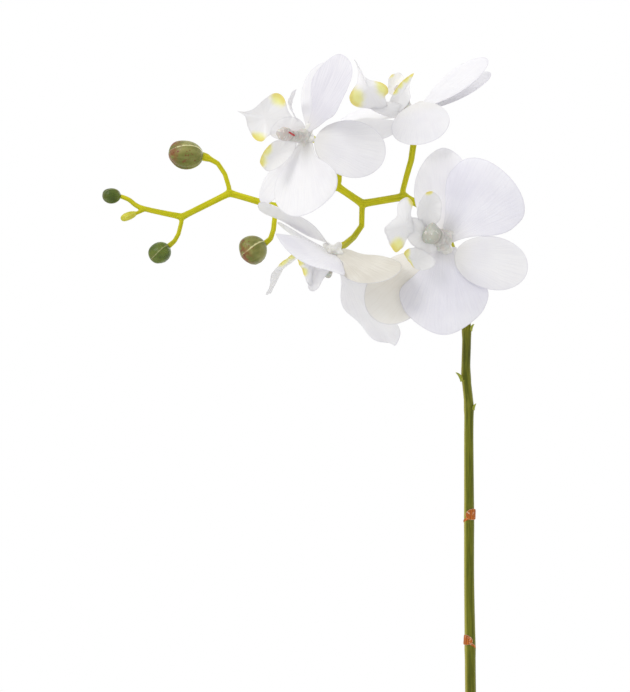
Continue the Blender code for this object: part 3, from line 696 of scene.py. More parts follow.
# %% Lip finish
lip_finish = Finish("lip_white", deep=0.25, reach=0.0025, bend=1.42, tinge=(1.0, 0.95, 0.85), sheen=0.1)
flow, place = lip_finish.mark("flow"), lip_finish.place()
blush = flow.part("X")
edge = lip_finish.mark("edge", "Fac")
blotch = place.noise(300, 3) - 0.5
fine = place.noise(1500, 2)
streaks = flow.stretch((0, 0.08, 7)).noise(1.0, 3)
yellow = (blush + blotch * 0.35).ramp(0.18, 0.8)
tint = (streaks.ramp(0.45, 0.65) * 0.2).between("f8f7f8", "e9e7ea")
tint = tint.coat(yellow, "f8f5a0")
tint = tint.coat(yellow * edge.ramp(0.72, 1.0) * 0.8, "ead24e")
# Painted shade: the white parts of the rim are painted a touch darker.
tint = tint.coat(edge.ramp(0.88, 1.0) * (1 - yellow) * 0.4, "cfccd2")
lip_finish.dress(tint, 0.34 + fine * 0.2, streaks * 0.5 + blotch * 0.5 + fine * 0.15, 0.0005, 0.35)


# %% Lips
def join(name, meshes):
    """Several closed meshes as one, with their marks."""
    objects = [stand(name, mesh) for mesh in meshes]
    with bpy.context.temp_override(active_object=objects[0], selected_editable_objects=objects, object=objects[0]):
        bpy.ops.object.join()
    made = objects[0].data
    bpy.data.objects.remove(objects[0])
    return made


for flower_name, spec in FLOWERS.items():
    node = f"{flower_name}_lip"
    lobes = [lobe_mesh(f"{node}_{i}", spec["centre"], *lobe) for i, lobe in enumerate(LIPS[flower_name])]
    dress_solid(node, join(node, lobes), lip_finish, "lip_white")

# %% [markdown]
# ## Limbs
#
# The columns, the crown with its sheaths and the collars of the dry scales are limbs: round or slightly flat bodies
# along a smooth route. The route is a curve through a few chosen points, and one chosen direction keeps the section
# from twisting along it.


# %% Limb
def limb_rings(route, up, flat=1.0, steps=24, section=None):
    """Rings about a route of x, y, z and radius: flat squeezes them along `up`, and section shapes them."""
    middle, radius = route[:, :3], route[:, 3]
    tangent = units(np.gradient(middle, axis=0))
    side = units(np.cross(tangent, np.array(up, float)))
    other = np.cross(side, tangent)
    turn = np.arange(steps) * 2 * math.pi / steps
    swell = radius[:, None] * (np.ones((len(route), steps)) if section is None else section(turn, len(route)))
    rings = (middle[:, None] + side[:, None] * (np.cos(turn) * swell)[..., None]
             + other[:, None] * (np.sin(turn) * swell * flat)[..., None])
    length = walked(middle)
    flow = np.stack(np.broadcast_arrays(length[:, None], np.cos(turn) * swell, np.sin(turn) * swell), axis=-1)
    return rings, flow, length


# %% [markdown]
# ## Column and throat
#
# The column carries the pollen under a small cap at its end, and below the cap it is hollowed out. It is a limb
# whose section narrows behind the cap. The throat is the knot of tissue where all tepals meet: a small ball that
# swells towards each tepal, so that each one seems to grow out of it.


# %% Column and throat finishes
def flesh_finish(name, pale, shade, rough, deep):
    made = Finish(name, deep=0.3, reach=0.002, bend=1.45, tinge=(1.0, 0.95, 0.85))
    place = made.place()
    cloud = place.noise(330, 4, 0.6)
    fine = place.noise(1500, 2)
    made.dress(cloud.ramp(0.35, 0.65).between(pale, shade), rough + fine * 0.15, cloud + fine * 0.2, deep, 0.6)
    return made


throat_finish = flesh_finish("throat_white", "f6f5f2", "e9e7e0", 0.4, 0.0008)
column_finish = Finish("column_grey", deep=0.2, reach=0.002, bend=1.45, coat=0.3, coat_rough=0.08)
place = column_finish.place()
flow = column_finish.mark("flow")
share = column_finish.mark("edge", "Fac")
cloud = place.noise(420, 4, 0.6)
tint = cloud.ramp(0.35, 0.65).between("d9d6d0", "bfbcb5")
cap = place.part("Z").ramp(0.505, 0.525).between("bcbeb2", "cfc6c0")
tint = tint.coat(share.ramp(0.58, 0.75) * 0.85, cap)
tint = tint.coat(share.near(0.66, 0.05) * 0.5, "8f8d80")
# Painted highlights: pale patches on the cap stand in for glints.
tint = tint.coat(share.ramp(0.7, 0.9) * cloud.ramp(0.54, 0.62) * 0.7, "f6f4ee")
tint = tint.coat((1 - share.ramp(0.05, 0.35)) * 0.8, "efeee8")
x, y, z = (place.part(axis) for axis in "XYZ")
LEFT, HIGH = 0.0928, 0.5448  # where the one red stripe is, under flower_2's cap
streak = ((x + LEFT) / 0.0019) ** 2.0 + ((z - HIGH + (x + LEFT) * 0.5) / 0.0007) ** 2.0
dots = place.noise(900, 1).ramp(0.62, 0.68) * (x.near(-0.0935, 0.010) * z.near(0.5445, 0.004))
red = (1 - streak.ramp(0.6, 1.2)).maths("MAXIMUM", dots * 0.7)
tint = tint.coat(red, "c8202c")
column_finish.dress(tint, 0.3 + cloud * 0.2, cloud, 0.0010, 0.7)


# %% Columns and throats
def column_section(turn, rows):
    """Round at the foot, with a hollow on the underside and a cap of two lobes at the end."""
    share = np.linspace(0, 1, rows)[:, None]
    hollow = 0.3 * np.exp(-((np.cos(turn) * 1.2) ** 2)) * (np.sin(turn) < 0) * np.exp(-(((share - 0.55) / 0.16) ** 2))
    lobes = (0.12 * np.cos(3 * turn + 0.6) + 0.05 * np.cos(7 * turn)) * np.clip((share - 0.66) / 0.2, 0, 1)
    return 1 - hollow + lobes


COLUMN = ((0, 3.6), (0.1, 5.2), (0.17, 6.2), (0.21, 5.4), (0.28, 4.4), (0.42, 4.4), (0.58, 4.6), (0.66, 4.1),
          (0.7, 4.5), (0.8, 5.4), (0.9, 5.2), (0.97, 4.0), (1.0, 2.4))  # share of its length, radius


def make_column(name, centre, column, lip_start, girth):
    centre, along = np.array(centre, float), np.array(column, float)
    rise = unit(np.cross(np.cross(along, lip_start), along)) * -1
    bend = [(*(centre + along * s + rise * 1.2 * math.sin(math.pi * s)), r * girth) for s, r in COLUMN]
    route = smooth_route(bend, 5)
    rings, flow, length = limb_rings(route, rise, 0.9, 32, column_section)
    edge = np.broadcast_to((length / length[-1])[:, None], rings.shape[:2])
    tip = rings[-1].mean(axis=0) + unit(along) * 1.0
    mesh = skin(f"{name}_column", rings, flow, edge, (rings[0].mean(axis=0), tip))
    dress_solid(f"{name}_column", mesh, column_finish, "column_grey")


def ball_grid(rows=26, columns=40):
    tilt = np.linspace(0, math.pi, rows)[1:-1]
    tilt, turn = np.meshgrid(tilt, np.arange(columns) * 2 * math.pi / columns, indexing="ij")
    return np.stack([np.sin(tilt) * np.cos(turn), np.sin(tilt) * np.sin(turn), np.cos(tilt)], axis=-1)


def make_throat(name, spec):
    centre, gaze = np.array(spec["centre"], float), unit(spec["gaze"])
    ways = ball_grid()
    size = 3.2 + 0 * ways[..., 0]
    for shape in spec["tepals"].values():
        size += 4.6 * np.exp(12 * (ways @ unit(shape.get("start", shape["tip"])) - 1))
    size += 1.8 * np.exp(6 * (ways @ unit(spec["column"]) - 1)) + 2.6 * np.exp(8 * (-(ways @ gaze) - 1))
    rings = centre + ways * size[..., None]
    mesh = skin(f"{name}_throat", rings, ways * size[..., None], 0 * size)
    add_piece(f"{name}_throat", mesh, throat_finish, "tepal_white")


for flower_name, spec in FLOWERS.items():
    make_column(flower_name, spec["centre"], spec["column"], spec["lip_start"], spec["girth"])
    make_throat(flower_name, spec)
print("columns and throats")

# %% [markdown]
# ## The flower spike
#
# The spike and the stalks of the flowers and buds are one growth: at each node a stalk leaves the spike, and the skin
# runs on over the fork. A tree of Geometry Nodes turns lines with a thickness into round tubes. The tubes are then
# melted into one skin by a fine voxel remesh, and a little smoothing rounds the forks.

# %% Routes of the spike and its stalks
SPIKE = (
    (3, -9, 99, 3.4), (7, -13, 118, 3.3), (9, -9, 150, 3.2), (7.5, -3, 195, 3.1), (7, 0, 235, 3.05),
    (6.7, 0, 264, 3.0), (6.2, 0, 300, 2.8), (6.2, 0, 334, 2.8), (6, 0, 376, 2.6), (6, 0, 396, 2.6), (4.4, 0, 414, 2.5),
    (4.8, 1, 437, 2.45), (3, 4, 462, 2.4), (-5, 6, 487, 2.3), (-16, 5, 504, 2.2), (-30, 2, 512.5, 2.1),
    (-53.5, 0, 508.5, 2.1), (-67.5, -1, 518, 2.0), (-85, 4, 513, 1.9), (-102, 5, 507, 1.9), (-128, 2, 514.5, 1.8),
    (-154.5, -3, 501, 1.7), (-177, -4, 506, 1.4), (-184, -4, 510.5, 1.25), (-189, -4, 512.6, 1.2),
)
STALKS = {
    "pedicel_1": ((-5, 6, 487, 1.6), (-5, 1.8, 486, 1.6), (-8, -8, 490, 1.7), (-9, -20, 490, 1.7), (-9, -32, 487, 2.2)),
    "pedicel_2": ((-67.5, -1, 518, 1.6), (-66.6, -2.6, 521.5, 1.5), (-66.4, -5, 529, 1.55), (-71, -11, 537, 1.6),
                  (-78, -20, 542, 1.7), (-83, -31, 544, 2.0)),
    "pedicel_3": ((-31, 2, 512.5, 1.7), (-30.8, 2, 516.3, 1.55), (-28.8, 1.4, 524, 1.6), (-26.2, 1, 533, 1.7),
                  (-24.9, 0.5, 542, 1.8), (-27, 0, 556, 2.3)),
    "pedicel_4": ((-53.5, 0, 508.5, 1.7), (-53.8, -1, 504.8, 1.55), (-54, -3, 496, 1.6), (-58.5, -9, 489.5, 1.7),
                  (-63, -16, 485.5, 1.9), (-67, -22, 483, 2.2)),
    "pedicel_5": ((-128, 2, 514.5, 1.4), (-128.4, 1.6, 518, 1.3), (-130.5, 1, 525, 1.3), (-134.5, 0, 531, 1.35),
                  (-138.4, -0.5, 533.2, 1.5), (-141, -0.8, 534.4, 2.3), (-144, -1, 535.2, 2.4)),
    "pedicel_6": ((-154.5, -3, 501, 1.3), (-154.9, -3.3, 497.6, 1.2), (-156.4, -4, 491.5, 1.2),
                  (-158.5, -5, 487.5, 1.25), (-162, -5.8, 484.4, 1.5)),
    "bud_5_stalk": ((-174.5, -4, 505.6, 1.3), (-177, -4.2, 504.3, 1.0), (-179.4, -4.5, 503.2, 0.95),
                    (-182, -4.7, 502.3, 1.3)),
    "pedicel_7": ((-102, 5, 507, 1.5), (-102.4, 4.4, 503.6, 1.4), (-103.4, 3, 494, 1.4), (-105, 1.5, 489, 1.45),
                  (-108.5, -0.3, 485.8, 1.7)),
}
FORKS = ((-5, 6, 487), (-30, 2, 512.5), (-53.5, 0, 508.5), (-67.5, -1, 518), (-102, 5, 507), (-128, 2, 514.5),
         (-154.5, -3, 501), (6, 0, 394), (4.5, 0, 412), (4.8, 1, 437), (6.2, 0, 331), (6.7, 0, 261), (7.2, -1, 216))


# %% Lines for the tree
def line_object(name, routes, per_span=6):
    """Polylines in millimetres, with a thickness at every point."""
    points, edges, thick = [], [], []
    for route in routes:
        fine = smooth_route(route, per_span)
        first = len(points)
        points += [tuple(p) for p in fine[:, :3] * MM]
        thick += list(fine[:, 3] * MM)
        edges += [(first + i, first + i + 1) for i in range(len(fine) - 1)]
    mesh = bpy.data.meshes.new(name)
    mesh.from_pydata(points, edges, [])
    mesh.attributes.new("thickness", "FLOAT", "POINT").data.foreach_set("value", thick)
    return stand(name, mesh)


def cornered(route, corners):
    """The route with a point just before and after each corner, so that it turns sharply there."""
    route = np.array(route, float)
    found = []
    for i, point in enumerate(route):
        sharp = any(np.allclose(point[:3], corner) for corner in corners) and 0 < i < len(route) - 1
        steps = [route[i + k] - point for k in (-1, 1)] if sharp else []
        beside = [point + step * 2.4 / np.linalg.norm(step[:3]) for step in steps]
        found += [*beside[:1], point, *beside[1:]]
    return found


def swollen(route):
    """A route with a soft bulge at each fork and scar."""
    route = smooth_route(cornered(route, FORKS[1:7]), 6)
    for fork in FORKS:
        gap = np.linalg.norm(route[:, :3] - fork, axis=1)
        route[:, 3] += 0.28 * np.exp(-((gap / 2.6) ** 2))
    return route


spike_lines = line_object("spike_lines", [swollen(SPIKE), *STALKS.values()], 1)
print(len(spike_lines.data.vertices), "points on the lines")

# %% [markdown]
# ## The tube tree
#
# Mesh to Curve takes the lines, Set Curve Radius reads their thickness, and Curve to Mesh lays a circle along them.
# The number of sides and a share that fattens or thins every tube are named inputs, so that roots can use the tree
# too.


# %% Tube tree
def new_tree(name, sockets):
    tree = bpy.data.node_groups.new(name, "GeometryNodeTree")
    tree.interface.new_socket("Geometry", in_out="INPUT", socket_type="NodeSocketGeometry")
    tree.interface.new_socket("Geometry", in_out="OUTPUT", socket_type="NodeSocketGeometry")
    for label, kind in sockets:
        tree.interface.new_socket(label, in_out="INPUT", socket_type=f"NodeSocket{kind}")
    return Board(tree)


def finish_tree(board, geometry):
    """Every tree ends here: instances are made real, and the material is set."""
    real = board.node("GeometryNodeRealizeInstances", values={"Geometry": geometry})
    done = board.node("GeometryNodeSetMaterial", values={"Geometry": real, "Material": board.given("Finish")})
    out = board.tree.nodes.new("NodeGroupOutput")
    board.tree.links.new(done.socket, out.inputs["Geometry"])


tube_tree = new_tree("tubes", (("Sides", "Int"), ("Fatten", "Float"), ("Finish", "Material")))
lines = tube_tree.node("GeometryNodeMeshToCurve", values={"Mesh": tube_tree.given("Geometry")})
thickness = tube_tree.node("GeometryNodeInputNamedAttribute", {"data_type": "FLOAT"}, {"Name": "thickness"})
radius = thickness + tube_tree.given("Fatten")
sized = tube_tree.node("GeometryNodeSetCurveRadius", values={"Curve": lines, "Radius": radius})
ring = {"Resolution": tube_tree.given("Sides"), "Radius": 1.0}
circle = tube_tree.node("GeometryNodeCurvePrimitiveCircle", values=ring)
laid = {"Curve": sized, "Profile Curve": circle, "Fill Caps": True}
tubes_laid = tube_tree.node("GeometryNodeCurveToMesh", values=laid)
scale_input = tubes_laid.socket.node.inputs.get("Scale")
if scale_input:
    tube_tree.tree.links.new(radius.socket, scale_input)
print("the tube node takes its own scale:", bool(scale_input))
finish_tree(tube_tree, tubes_laid)


def grow(obj, board, inputs, name):
    """Runs a tree on an object and gives the result as a plain mesh; the object is removed."""
    modifier = obj.modifiers.new("tree", "NODES")
    modifier.node_group = board.tree
    for socket in board.tree.interface.items_tree:
        if socket.in_out == "INPUT" and socket.name in inputs:
            modifier[socket.identifier] = inputs[socket.name]
    bpy.context.view_layer.update()
    graph = bpy.context.evaluated_depsgraph_get()
    mesh = bpy.data.meshes.new_from_object(obj.evaluated_get(graph))
    mesh.name = name
    bpy.data.objects.remove(obj)
    return mesh


# %% [markdown]
# ## The green of the spike
#
# The lower stem is olive green with a waxy shine, and it turns yellow-green where the flowers begin. Fine streaks
# run along it. They read a mark that was laid along the stem, not the place in space, so that they follow every bend.
# Its two edges are painted paler, the left one most, as painted highlights. A band below the flowers is painted
# darker, as their painted shadow.

# %% Stem finish
stem_finish = Finish("spike_green", bend=1.45, shine=0.22, coat=0.06, coat_rough=0.15, deep=0.06, reach=0.002)
flow = stem_finish.mark("flow")
place = stem_finish.place()
age = stem_finish.mark("edge", "Fac")
streaks = flow.stretch((0.05, 1.6, 1.6)).noise(1.0, 4, 0.55)
patches = place.noise(60, 3)
olive = streaks.ramp(0.38, 0.62).between("545a0c", "73761c")
young = streaks.ramp(0.38, 0.62).between("bcba0a", "d4cd18")
painted_light_across = flow.part("Y")
# Painted highlights: the left edge of the stem is painted paler, and the right edge a little paler too.
olive = olive.coat(painted_light_across.ramp(0.9, 2.2) * 0.8, "b5ae4c")
olive = olive.coat(painted_light_across.ramp(-1.7, -2.3) * 0.4, "8b8b38")
# Painted shadow: a band of the stem below the flowers is painted darker.
olive = olive.coat(place.part("Z").near(0.434, 0.022) * 0.45, "2f3610")
tint = olive.coat(age, young)
tint = tint.coat(patches.ramp(0.55, 0.75) * 0.3, "8b8b35")
stem_finish.dress(tint, 0.36 + streaks * 0.22, streaks, 0.0003, 0.5)


# %% Spike skin
def melt(mesh, voxel, rounds, name):
    """Melts crossing tubes into one skin, and smooths it."""
    obj = stand(name, mesh)
    remesh = obj.modifiers.new("melt", "REMESH")
    remesh.mode, remesh.voxel_size = "VOXEL", voxel
    smooth = obj.modifiers.new("smooth", "SMOOTH")
    smooth.factor, smooth.iterations = 0.5, rounds
    graph = bpy.context.evaluated_depsgraph_get()
    made = bpy.data.meshes.new_from_object(obj.evaluated_get(graph))
    bpy.data.objects.remove(obj)
    return made


def mark_along(mesh, routes, age):
    """Lays the flow mark along routes: how far along, and where round the stem."""
    samples = []
    for route in routes:
        middle = smooth_route(route, 12)[:, :3]
        samples.append(np.column_stack([middle, units(np.gradient(middle, axis=0)), walked(middle)]))
    samples = np.vstack(samples)
    tree = kdtree.KDTree(len(samples))
    for i, row in enumerate(samples):
        tree.insert(row[:3], i)
    tree.balance()
    points = np.empty(len(mesh.vertices) * 3, np.float32)
    mesh.vertices.foreach_get("co", points)
    points = points.reshape(-1, 3) / MM
    near = samples[[tree.find(p)[1] for p in points]]
    off, along = points - near[:, :3], near[:, 3:6]
    side = np.cross(along, (0.1, 0.9, 0.2))
    shares = [(off * way).sum(axis=1) for way in (along, side, np.cross(along, side))]
    set_marks(mesh, np.column_stack([near[:, 6] + shares[0], *shares[1:]]), age(points))


def stem_age(points):
    """0 on the old stem, 1 on the youngest shoots."""
    up = np.clip((points[:, 2] - 425) / 75, 0, 1)
    return up * np.clip(0.8 - points[:, 0] / 400, 0.3, 1)


tubes = grow(spike_lines, tube_tree, {"Sides": 20, "Fatten": 0.00009, "Finish": stem_finish.material}, "tubes")
spike_mesh = melt(tubes, 0.00045, 6, "spike")
mark_along(spike_mesh, [SPIKE, *STALKS.values()], stem_age)
pedicels = [stalk for stalk in STALKS if stalk.startswith("pedicel")]
add_piece("spike_skin", spike_mesh, stem_finish, "spike_green", "flower_spike", *pedicels)
print("spike skin:", len(spike_mesh.polygons), "faces")

# %% [markdown]
# ## Buds
#
# A closed bud is wrapped by its three outer sepals, whose edges overlap and leave a pale seam. Round the bud, each
# sepal's surface climbs slowly and then steps down at its edge. The finish is olive green with brown freckles, pale
# along the seams, partly from the sepals' own pale edges and partly as a painted highlight.


# %% Bud finish
def bud_finish(name, deep, light, blush):
    made = Finish(name, bend=1.45, shine=0.3, coat=0.12, coat_rough=0.1, deep=0.08, reach=0.002)
    flow = made.mark("flow")
    place = made.place()
    along, wrap = flow.part("X"), flow.part("Y")
    seam = made.mark("edge", "Fac")
    grain = made.whole(along * 1.2, wrap * 11).noise(1.0, 2)
    cloud = place.noise(110, 3)
    freckles = place.noise(520, 2, 0.6).ramp(0.56, 0.64) * place.noise(90, 2).ramp(0.46, 0.6)
    tint = cloud.ramp(0.35, 0.65).between(deep, light)
    tint = tint.coat(grain.ramp(0.4, 0.7) * 0.35, light)
    tint = tint.coat(seam.ramp(0.35, 0.85) * 0.3, deep)
    # The pale seam is partly the sepals' own pale edge and partly a painted highlight along it.
    tint = tint.coat(seam.ramp(0.86, 0.98) * (0.25 + blush * 0.7), "e2dda6")
    tint = tint.coat(along.ramp(0.6, 0.95) * place.noise(300, 3).ramp(0.42, 0.56) * blush * 0.85, "8a4a2e")
    tint = tint.coat(freckles * blush, "7a3a22")
    made.dress(tint, 0.32 + grain * 0.2, grain * 0.6 + cloud, 0.0006, 0.5)
    return made


BUD_FINISHES = {
    "olive": bud_finish("bud_olive", "6e7230", "9c9a58", 0.9),
    "dark": bud_finish("bud_dark", "3d4f0e", "66772c", 0.1),
    "young": bud_finish("bud_young", "b9b92a", "d8d24a", 0.0),
}
BUDS = {
    "bud_1": ((-142.6, -1, 534.8), (-162, -3, 537), 16.5, 0.5, "olive", 1.45),
    "bud_2": ((-188.6, -4, 513), (-199, -4.5, 512.6), 9, 0.5, "dark", 1.2),
    "bud_3": ((-161.5, -5.8, 484.6), (-172, -7, 477.2), 12.2, 0.5, "dark", 2.0),
    "bud_4": ((-107.8, -0.2, 486), (-121.5, -3, 479.5), 17, 0.55, "olive", 1.9),
    "bud_5": ((-179.6, -4.6, 503.3), (-188.6, -5, 499.6), 4.8, 0.58, "young", 0.0),
}


# %% Buds
def bud_mesh(name, base, tip, width, full, start, rows=40, steps=96):
    base, tip = np.array(base, float), np.array(tip, float)
    axis = unit(tip - base)
    side = unit(np.cross(axis, (0, 1, 0.2)))
    other = np.cross(axis, side)
    share, turn = np.meshgrid((1 - np.cos(np.linspace(0.06, 1, rows) * math.pi)) / 2,
                              np.arange(steps) * 2 * math.pi / steps, indexing="ij")
    wrap = ((turn + start + 0.35 * share) * 3 / (2 * math.pi)) % 1
    rise = np.where(share < full, share / full, (share - full) / (1 - full))
    swell = np.where(share < full, np.sqrt((1 - (1 - rise) ** 2).clip(0)), np.sqrt((1 - rise**2.2).clip(0)))
    step = 0.11 * (wrap**2 - 1.1 * np.clip((wrap - 0.95) / 0.05, 0, 1)) - 0.05
    seam = np.clip((wrap - 0.7) / 0.22, 0, 1) * np.clip((0.985 - wrap) / 0.03, 0, 1)
    tip_lobes = 0.15 * np.clip((share - 0.55) / 0.4, 0, 1) ** 2 * np.cos(2 * math.pi * (wrap - 0.45))
    out = width / 2 * swell * (0.98 + step + tip_lobes)
    reach = share + 0.5 * tip_lobes * (share > 0.6) * (1 - share)
    rings = (base + (tip - base) * reach[..., None] + out[..., None]
             * (side * np.cos(turn)[..., None] + other * np.sin(turn)[..., None]))
    return skin(name, rings, np.stack([share, wrap, turn], axis=-1), seam, (base, tip))


for bud_name, (base, tip, width, full, tone, start) in BUDS.items():
    mesh = bud_mesh(bud_name, base, tip, width, full, start)
    dress_solid(bud_name, mesh, BUD_FINISHES[tone], "bud_green")

# %% [markdown]
# ## Bracts
#
# At every joint of the lower spike sits a bract: a small scale that wrapped the shoot when it was young. The old ones
# have dried to brown paper with a pale edge, and the upper ones are still green. Each scale is a blade, cupped to the
# stem's own curve, with a thin collar where it grew on. The collar hides the cut where the scale meets the stem.

# %% Bract finish
def bract_finish(name, dark, light, rim):
    made = Finish(name, bend=1.45, shine=0.35, coat=0.15, coat_rough=0.12)
    flow, place = made.mark("flow"), made.place()
    fibres = flow.stretch((0.12, 2.2, 1.0)).noise(1.0, 3)
    patch = place.noise(420, 3)
    tint = fibres.ramp(0.35, 0.65).between(dark, light)
    tint = tint.coat(patch.ramp(0.6, 0.68) * 0.6, rim)
    # The pale edge is partly the scale's own papery rim and partly a painted highlight along it.
    tint = tint.coat(made.mark("edge", "Fac").ramp(0.8, 1.0) * 0.8, rim)
    made.dress(tint, 0.4 + patch * 0.25, fibres + patch * 0.5, 0.0005, 0.6)
    return made


DRY = bract_finish("bract_dry", "9a450a", "d67a1e", "f4e4cc")
FRESH = bract_finish("bract_fresh", "7f8a1c", "b4b834", "dcd878")

# %% Bract shapes
BRACTS = {
    "bract_1": ((7.2, -1, 215), (0.5, -0.8, 0), (0, 0, 1), 3.1, 8.5, 11, 3.4, DRY),
    "bract_2": ((6.7, 0, 261.4), (-0.8, -0.6, 0), (0.1, 0, 1), 3.0, 5.6, 9, 3.4, DRY),
    "bract_3": ((6.2, 0, 331.6), (0.6, -0.8, 0), (0, 0, 1), 2.8, 6.2, 9, 2.4, DRY),
    "bract_4": ((6, 0, 392.6), (1, -0.2, 0), (-0.05, 0, 1), 2.55, 4.2, 4.4, 0.4, FRESH),
    "bract_5": ((4.6, 0, 409.4), (-1, -0.2, 0), (-0.2, 0, 1), 2.5, 6.2, 5.2, 0.5, FRESH),
    "bract_6": ((4.8, 1, 437), (1, -0.2, 0), (0, 0.1, 1), 2.4, 4.4, 4.4, 0.4, FRESH),
}


def collar(name, at, along, side, radius, tilt):
    """A low ring round the stem, that rises by its tilt towards the side that its scale stands on."""
    share = min(1, 0.3 + tilt / 3)
    shape = ((-1.2, -0.1), (-0.7, 0.26), (0, 0.5), (0.6, 0.34), (1.1, -0.1))
    route = np.array([(*(np.array(at) + along * rise * share), radius + more * share) for rise, more in shape])
    rings, flow, _ = limb_rings(route, side, 1.0, 40)
    lean = ((rings - np.array(at, float)) @ side / radius)[..., None]
    return skin(name, rings + along * (lean * tilt / 2), flow, 0.4 + 0 * rings[..., 0])


for name, (at, side, along, stem_radius, length, width, tilt, finish) in BRACTS.items():
    along = unit(along)
    side = unit(np.array(side, float) - along * (along @ np.array(side, float)))
    reach = stem_radius + 0.5
    axes = np.array([along, np.cross(-side, along), -side])
    wrap = math.degrees(width / 2 / reach)
    opens = 0 if finish is DRY else -30
    scale = blade_mesh(name, axes, np.array(at, float) + side * reach, 0.55, 30, 21, length=length, width=width,
                       widest=0.8, lift=-3, curl=opens - 4, cup=wrap, root=0)
    ring = collar(name, at, along, side, stem_radius, tilt)
    dress_solid(name, join(name, [scale, ring]), finish, "bract_brown")
print(len(BRACTS), "bracts")

# %% [markdown]
# ## Leaves
#
# The leaves are thick straps with a deep fold along the middle. Their skin is waxy: a fine grain of long veins, a pale
# line in the fold, and a thin pale rim. The underside is paler and duller than the top. The third part of `flow`
# says which side a point is on.

# %% Leaf finish
leaf_finish = Finish("leaf_green", bend=1.45, coat=0.3, coat_rough=0.22, deep=0.05, reach=0.003)
flow, place = leaf_finish.mark("flow"), leaf_finish.place()
along, across, side = (flow.part(axis) for axis in "XYZ")
edge = leaf_finish.mark("edge", "Fac")
veins = flow.stretch((0.012, 0.55, 0.0)).noise(1.0, 4, 0.6)
broad = flow.stretch((0.02, 0.12, 1.0)).noise(1.0, 3)
cloud = place.noise(26, 3)
pores = place.noise(900, 2)
under = side.ramp(0.2, -0.2)
tint = broad.ramp(0.35, 0.65).between("2f5620", "43702b")
tint = tint.coat(veins.ramp(0.5, 0.68) * 0.35, "5b8438")
tint = tint.coat(cloud.ramp(0.5, 0.75) * 0.4, "55742c")
tint = tint.coat(across.near(0.0, 1.6) * 0.55, "7f9c4c")
tint = tint.coat(edge.ramp(0.9, 1.0) * 0.5, "7d8f45")
tint = tint.coat(under * 0.75, "6d8748")
tint = tint.coat(along.ramp(26, 0) * 0.5, "8ba05a")
leaf_finish.dress(tint, 0.3 + pores * 0.14 + under * 0.15, veins * 0.8 + broad * 1.2 + pores * 0.1, 0.0008, 0.5)

# %% Leaf shapes
CROWN_AXIS, CROWN_RADIUS = (-4, 4), 8
LEAVES = {
    "leaf_1": (22, 101, 205, 72, 44, -66, 6),
    "leaf_2": (201, 104, 195, 74, 48, -74, -8),
    "leaf_3": (31, 109, 165, 66, 60, -78, -5),
    "leaf_4": (212, 113, 140, 60, 66, -76, 9),
    "leaf_5": (20, 118, 86, 42, 78, -50, 0),
}


def leaf_axes(azimuth):
    a = math.radians(azimuth)
    return np.array([(math.cos(a), math.sin(a), 0), (-math.sin(a), math.cos(a), 0), (0, 0, 1)])


for name, (azimuth, base, length, width, lift, curl, twist) in LEAVES.items():
    shape = dict(length=length, width=width, widest=1.15, blunt=0.62, claw=0.55, lift=lift, curl=curl, twist=twist,
                 keel=0.28, root=CROWN_RADIUS + 2, wobble=0.006)
    mesh = blade_mesh(name, leaf_axes(azimuth), (*CROWN_AXIS, base), 2.2, 90, 49, **shape)
    dress_solid(name, mesh, leaf_finish, "leaf_green")

# %% [markdown]
# ## The crown
#
# The stem of the plant is hidden: what shows are the leaf bases, folded round each other in turn. The core is a
# short rounded body, and a fleshy sheath leaves it for each leaf and runs into the leaf's root. Brown patches show
# where the sheaths are old.

# %% Crown
crown_finish = Finish("crown_green", bend=1.45, coat=0.2, coat_rough=0.25, deep=0.06, reach=0.002)
flow, place = crown_finish.mark("flow"), crown_finish.place()
height = place.part("Z")
fibres = flow.stretch((0.05, 1.4, 1.4)).noise(1.0, 4)
cloud = place.noise(120, 3)
tint = fibres.ramp(0.38, 0.62).between("6f8c3c", "9fae62")
tint = tint.coat(crown_finish.mark("edge", "Fac") * 0.6, "4f7a30")
tint = tint.coat((height + (cloud - 0.5) * 0.02).ramp(0.105, 0.092), "8f7a48")
tint = tint.coat(cloud.ramp(0.6, 0.72) * 0.5, "6a5230")
crown_finish.dress(tint, 0.4 + cloud * 0.2, fibres + cloud * 0.5, 0.0007, 0.5)

CORE = ((91, 4.6), (94, 6.6), (100, 8.3), (107, 7.9), (113, 6.8), (118, 4.6), (120.5, 2.2))  # height, radius
SHEATH_FOOT = ((9, 9, 5.5), (5.5, 6.5, 7.4), (1.6, 1.6, 6.6))  # how far in from the leaf's root, how far down, radius
SHEATH_END = ((3, 6.2), (8, 6.8), (13, 5.2))  # how far along the leaf, radius
core = smooth_route([(*CROWN_AXIS, height, radius) for height, radius in CORE], 8)
rings, flow, _ = limb_rings(core, (0, 1, 0), 0.92, 48)
parts = [skin("crown", rings, flow, 0 * rings[..., 0])]
for azimuth, base, length, width, lift, *_ in LEAVES.values():
    out, _, up = leaf_axes(azimuth)
    rise = math.radians(lift)
    root = np.array((*CROWN_AXIS, base), float) + out * (CROWN_RADIUS + 2)
    run = out * math.cos(rise) + up * math.sin(rise)
    stops = [(*(root - out * inward - up * down), r) for inward, down, r in SHEATH_FOOT]
    stops += [(*(root + run * onward), r) for onward, r in SHEATH_END]
    rings, flow, run_length = limb_rings(smooth_route(stops, 8), up * math.cos(rise) - out * math.sin(rise), 0.42, 40)
    age = np.broadcast_to((run_length / run_length[-1])[:, None], rings.shape[:2])
    parts.append(skin("sheath", rings, flow, age))
dress_solid("crown", join("crown", parts), crown_finish, "crown_green")

# %% [markdown]
# ## The roots
#
# Moth orchid roots are wrapped in velamen, a spongy coat that is silver when dry, with a short green tip. They go
# through the same tube tree as the spike, with more sides. Three smaller points past each tip round it off.

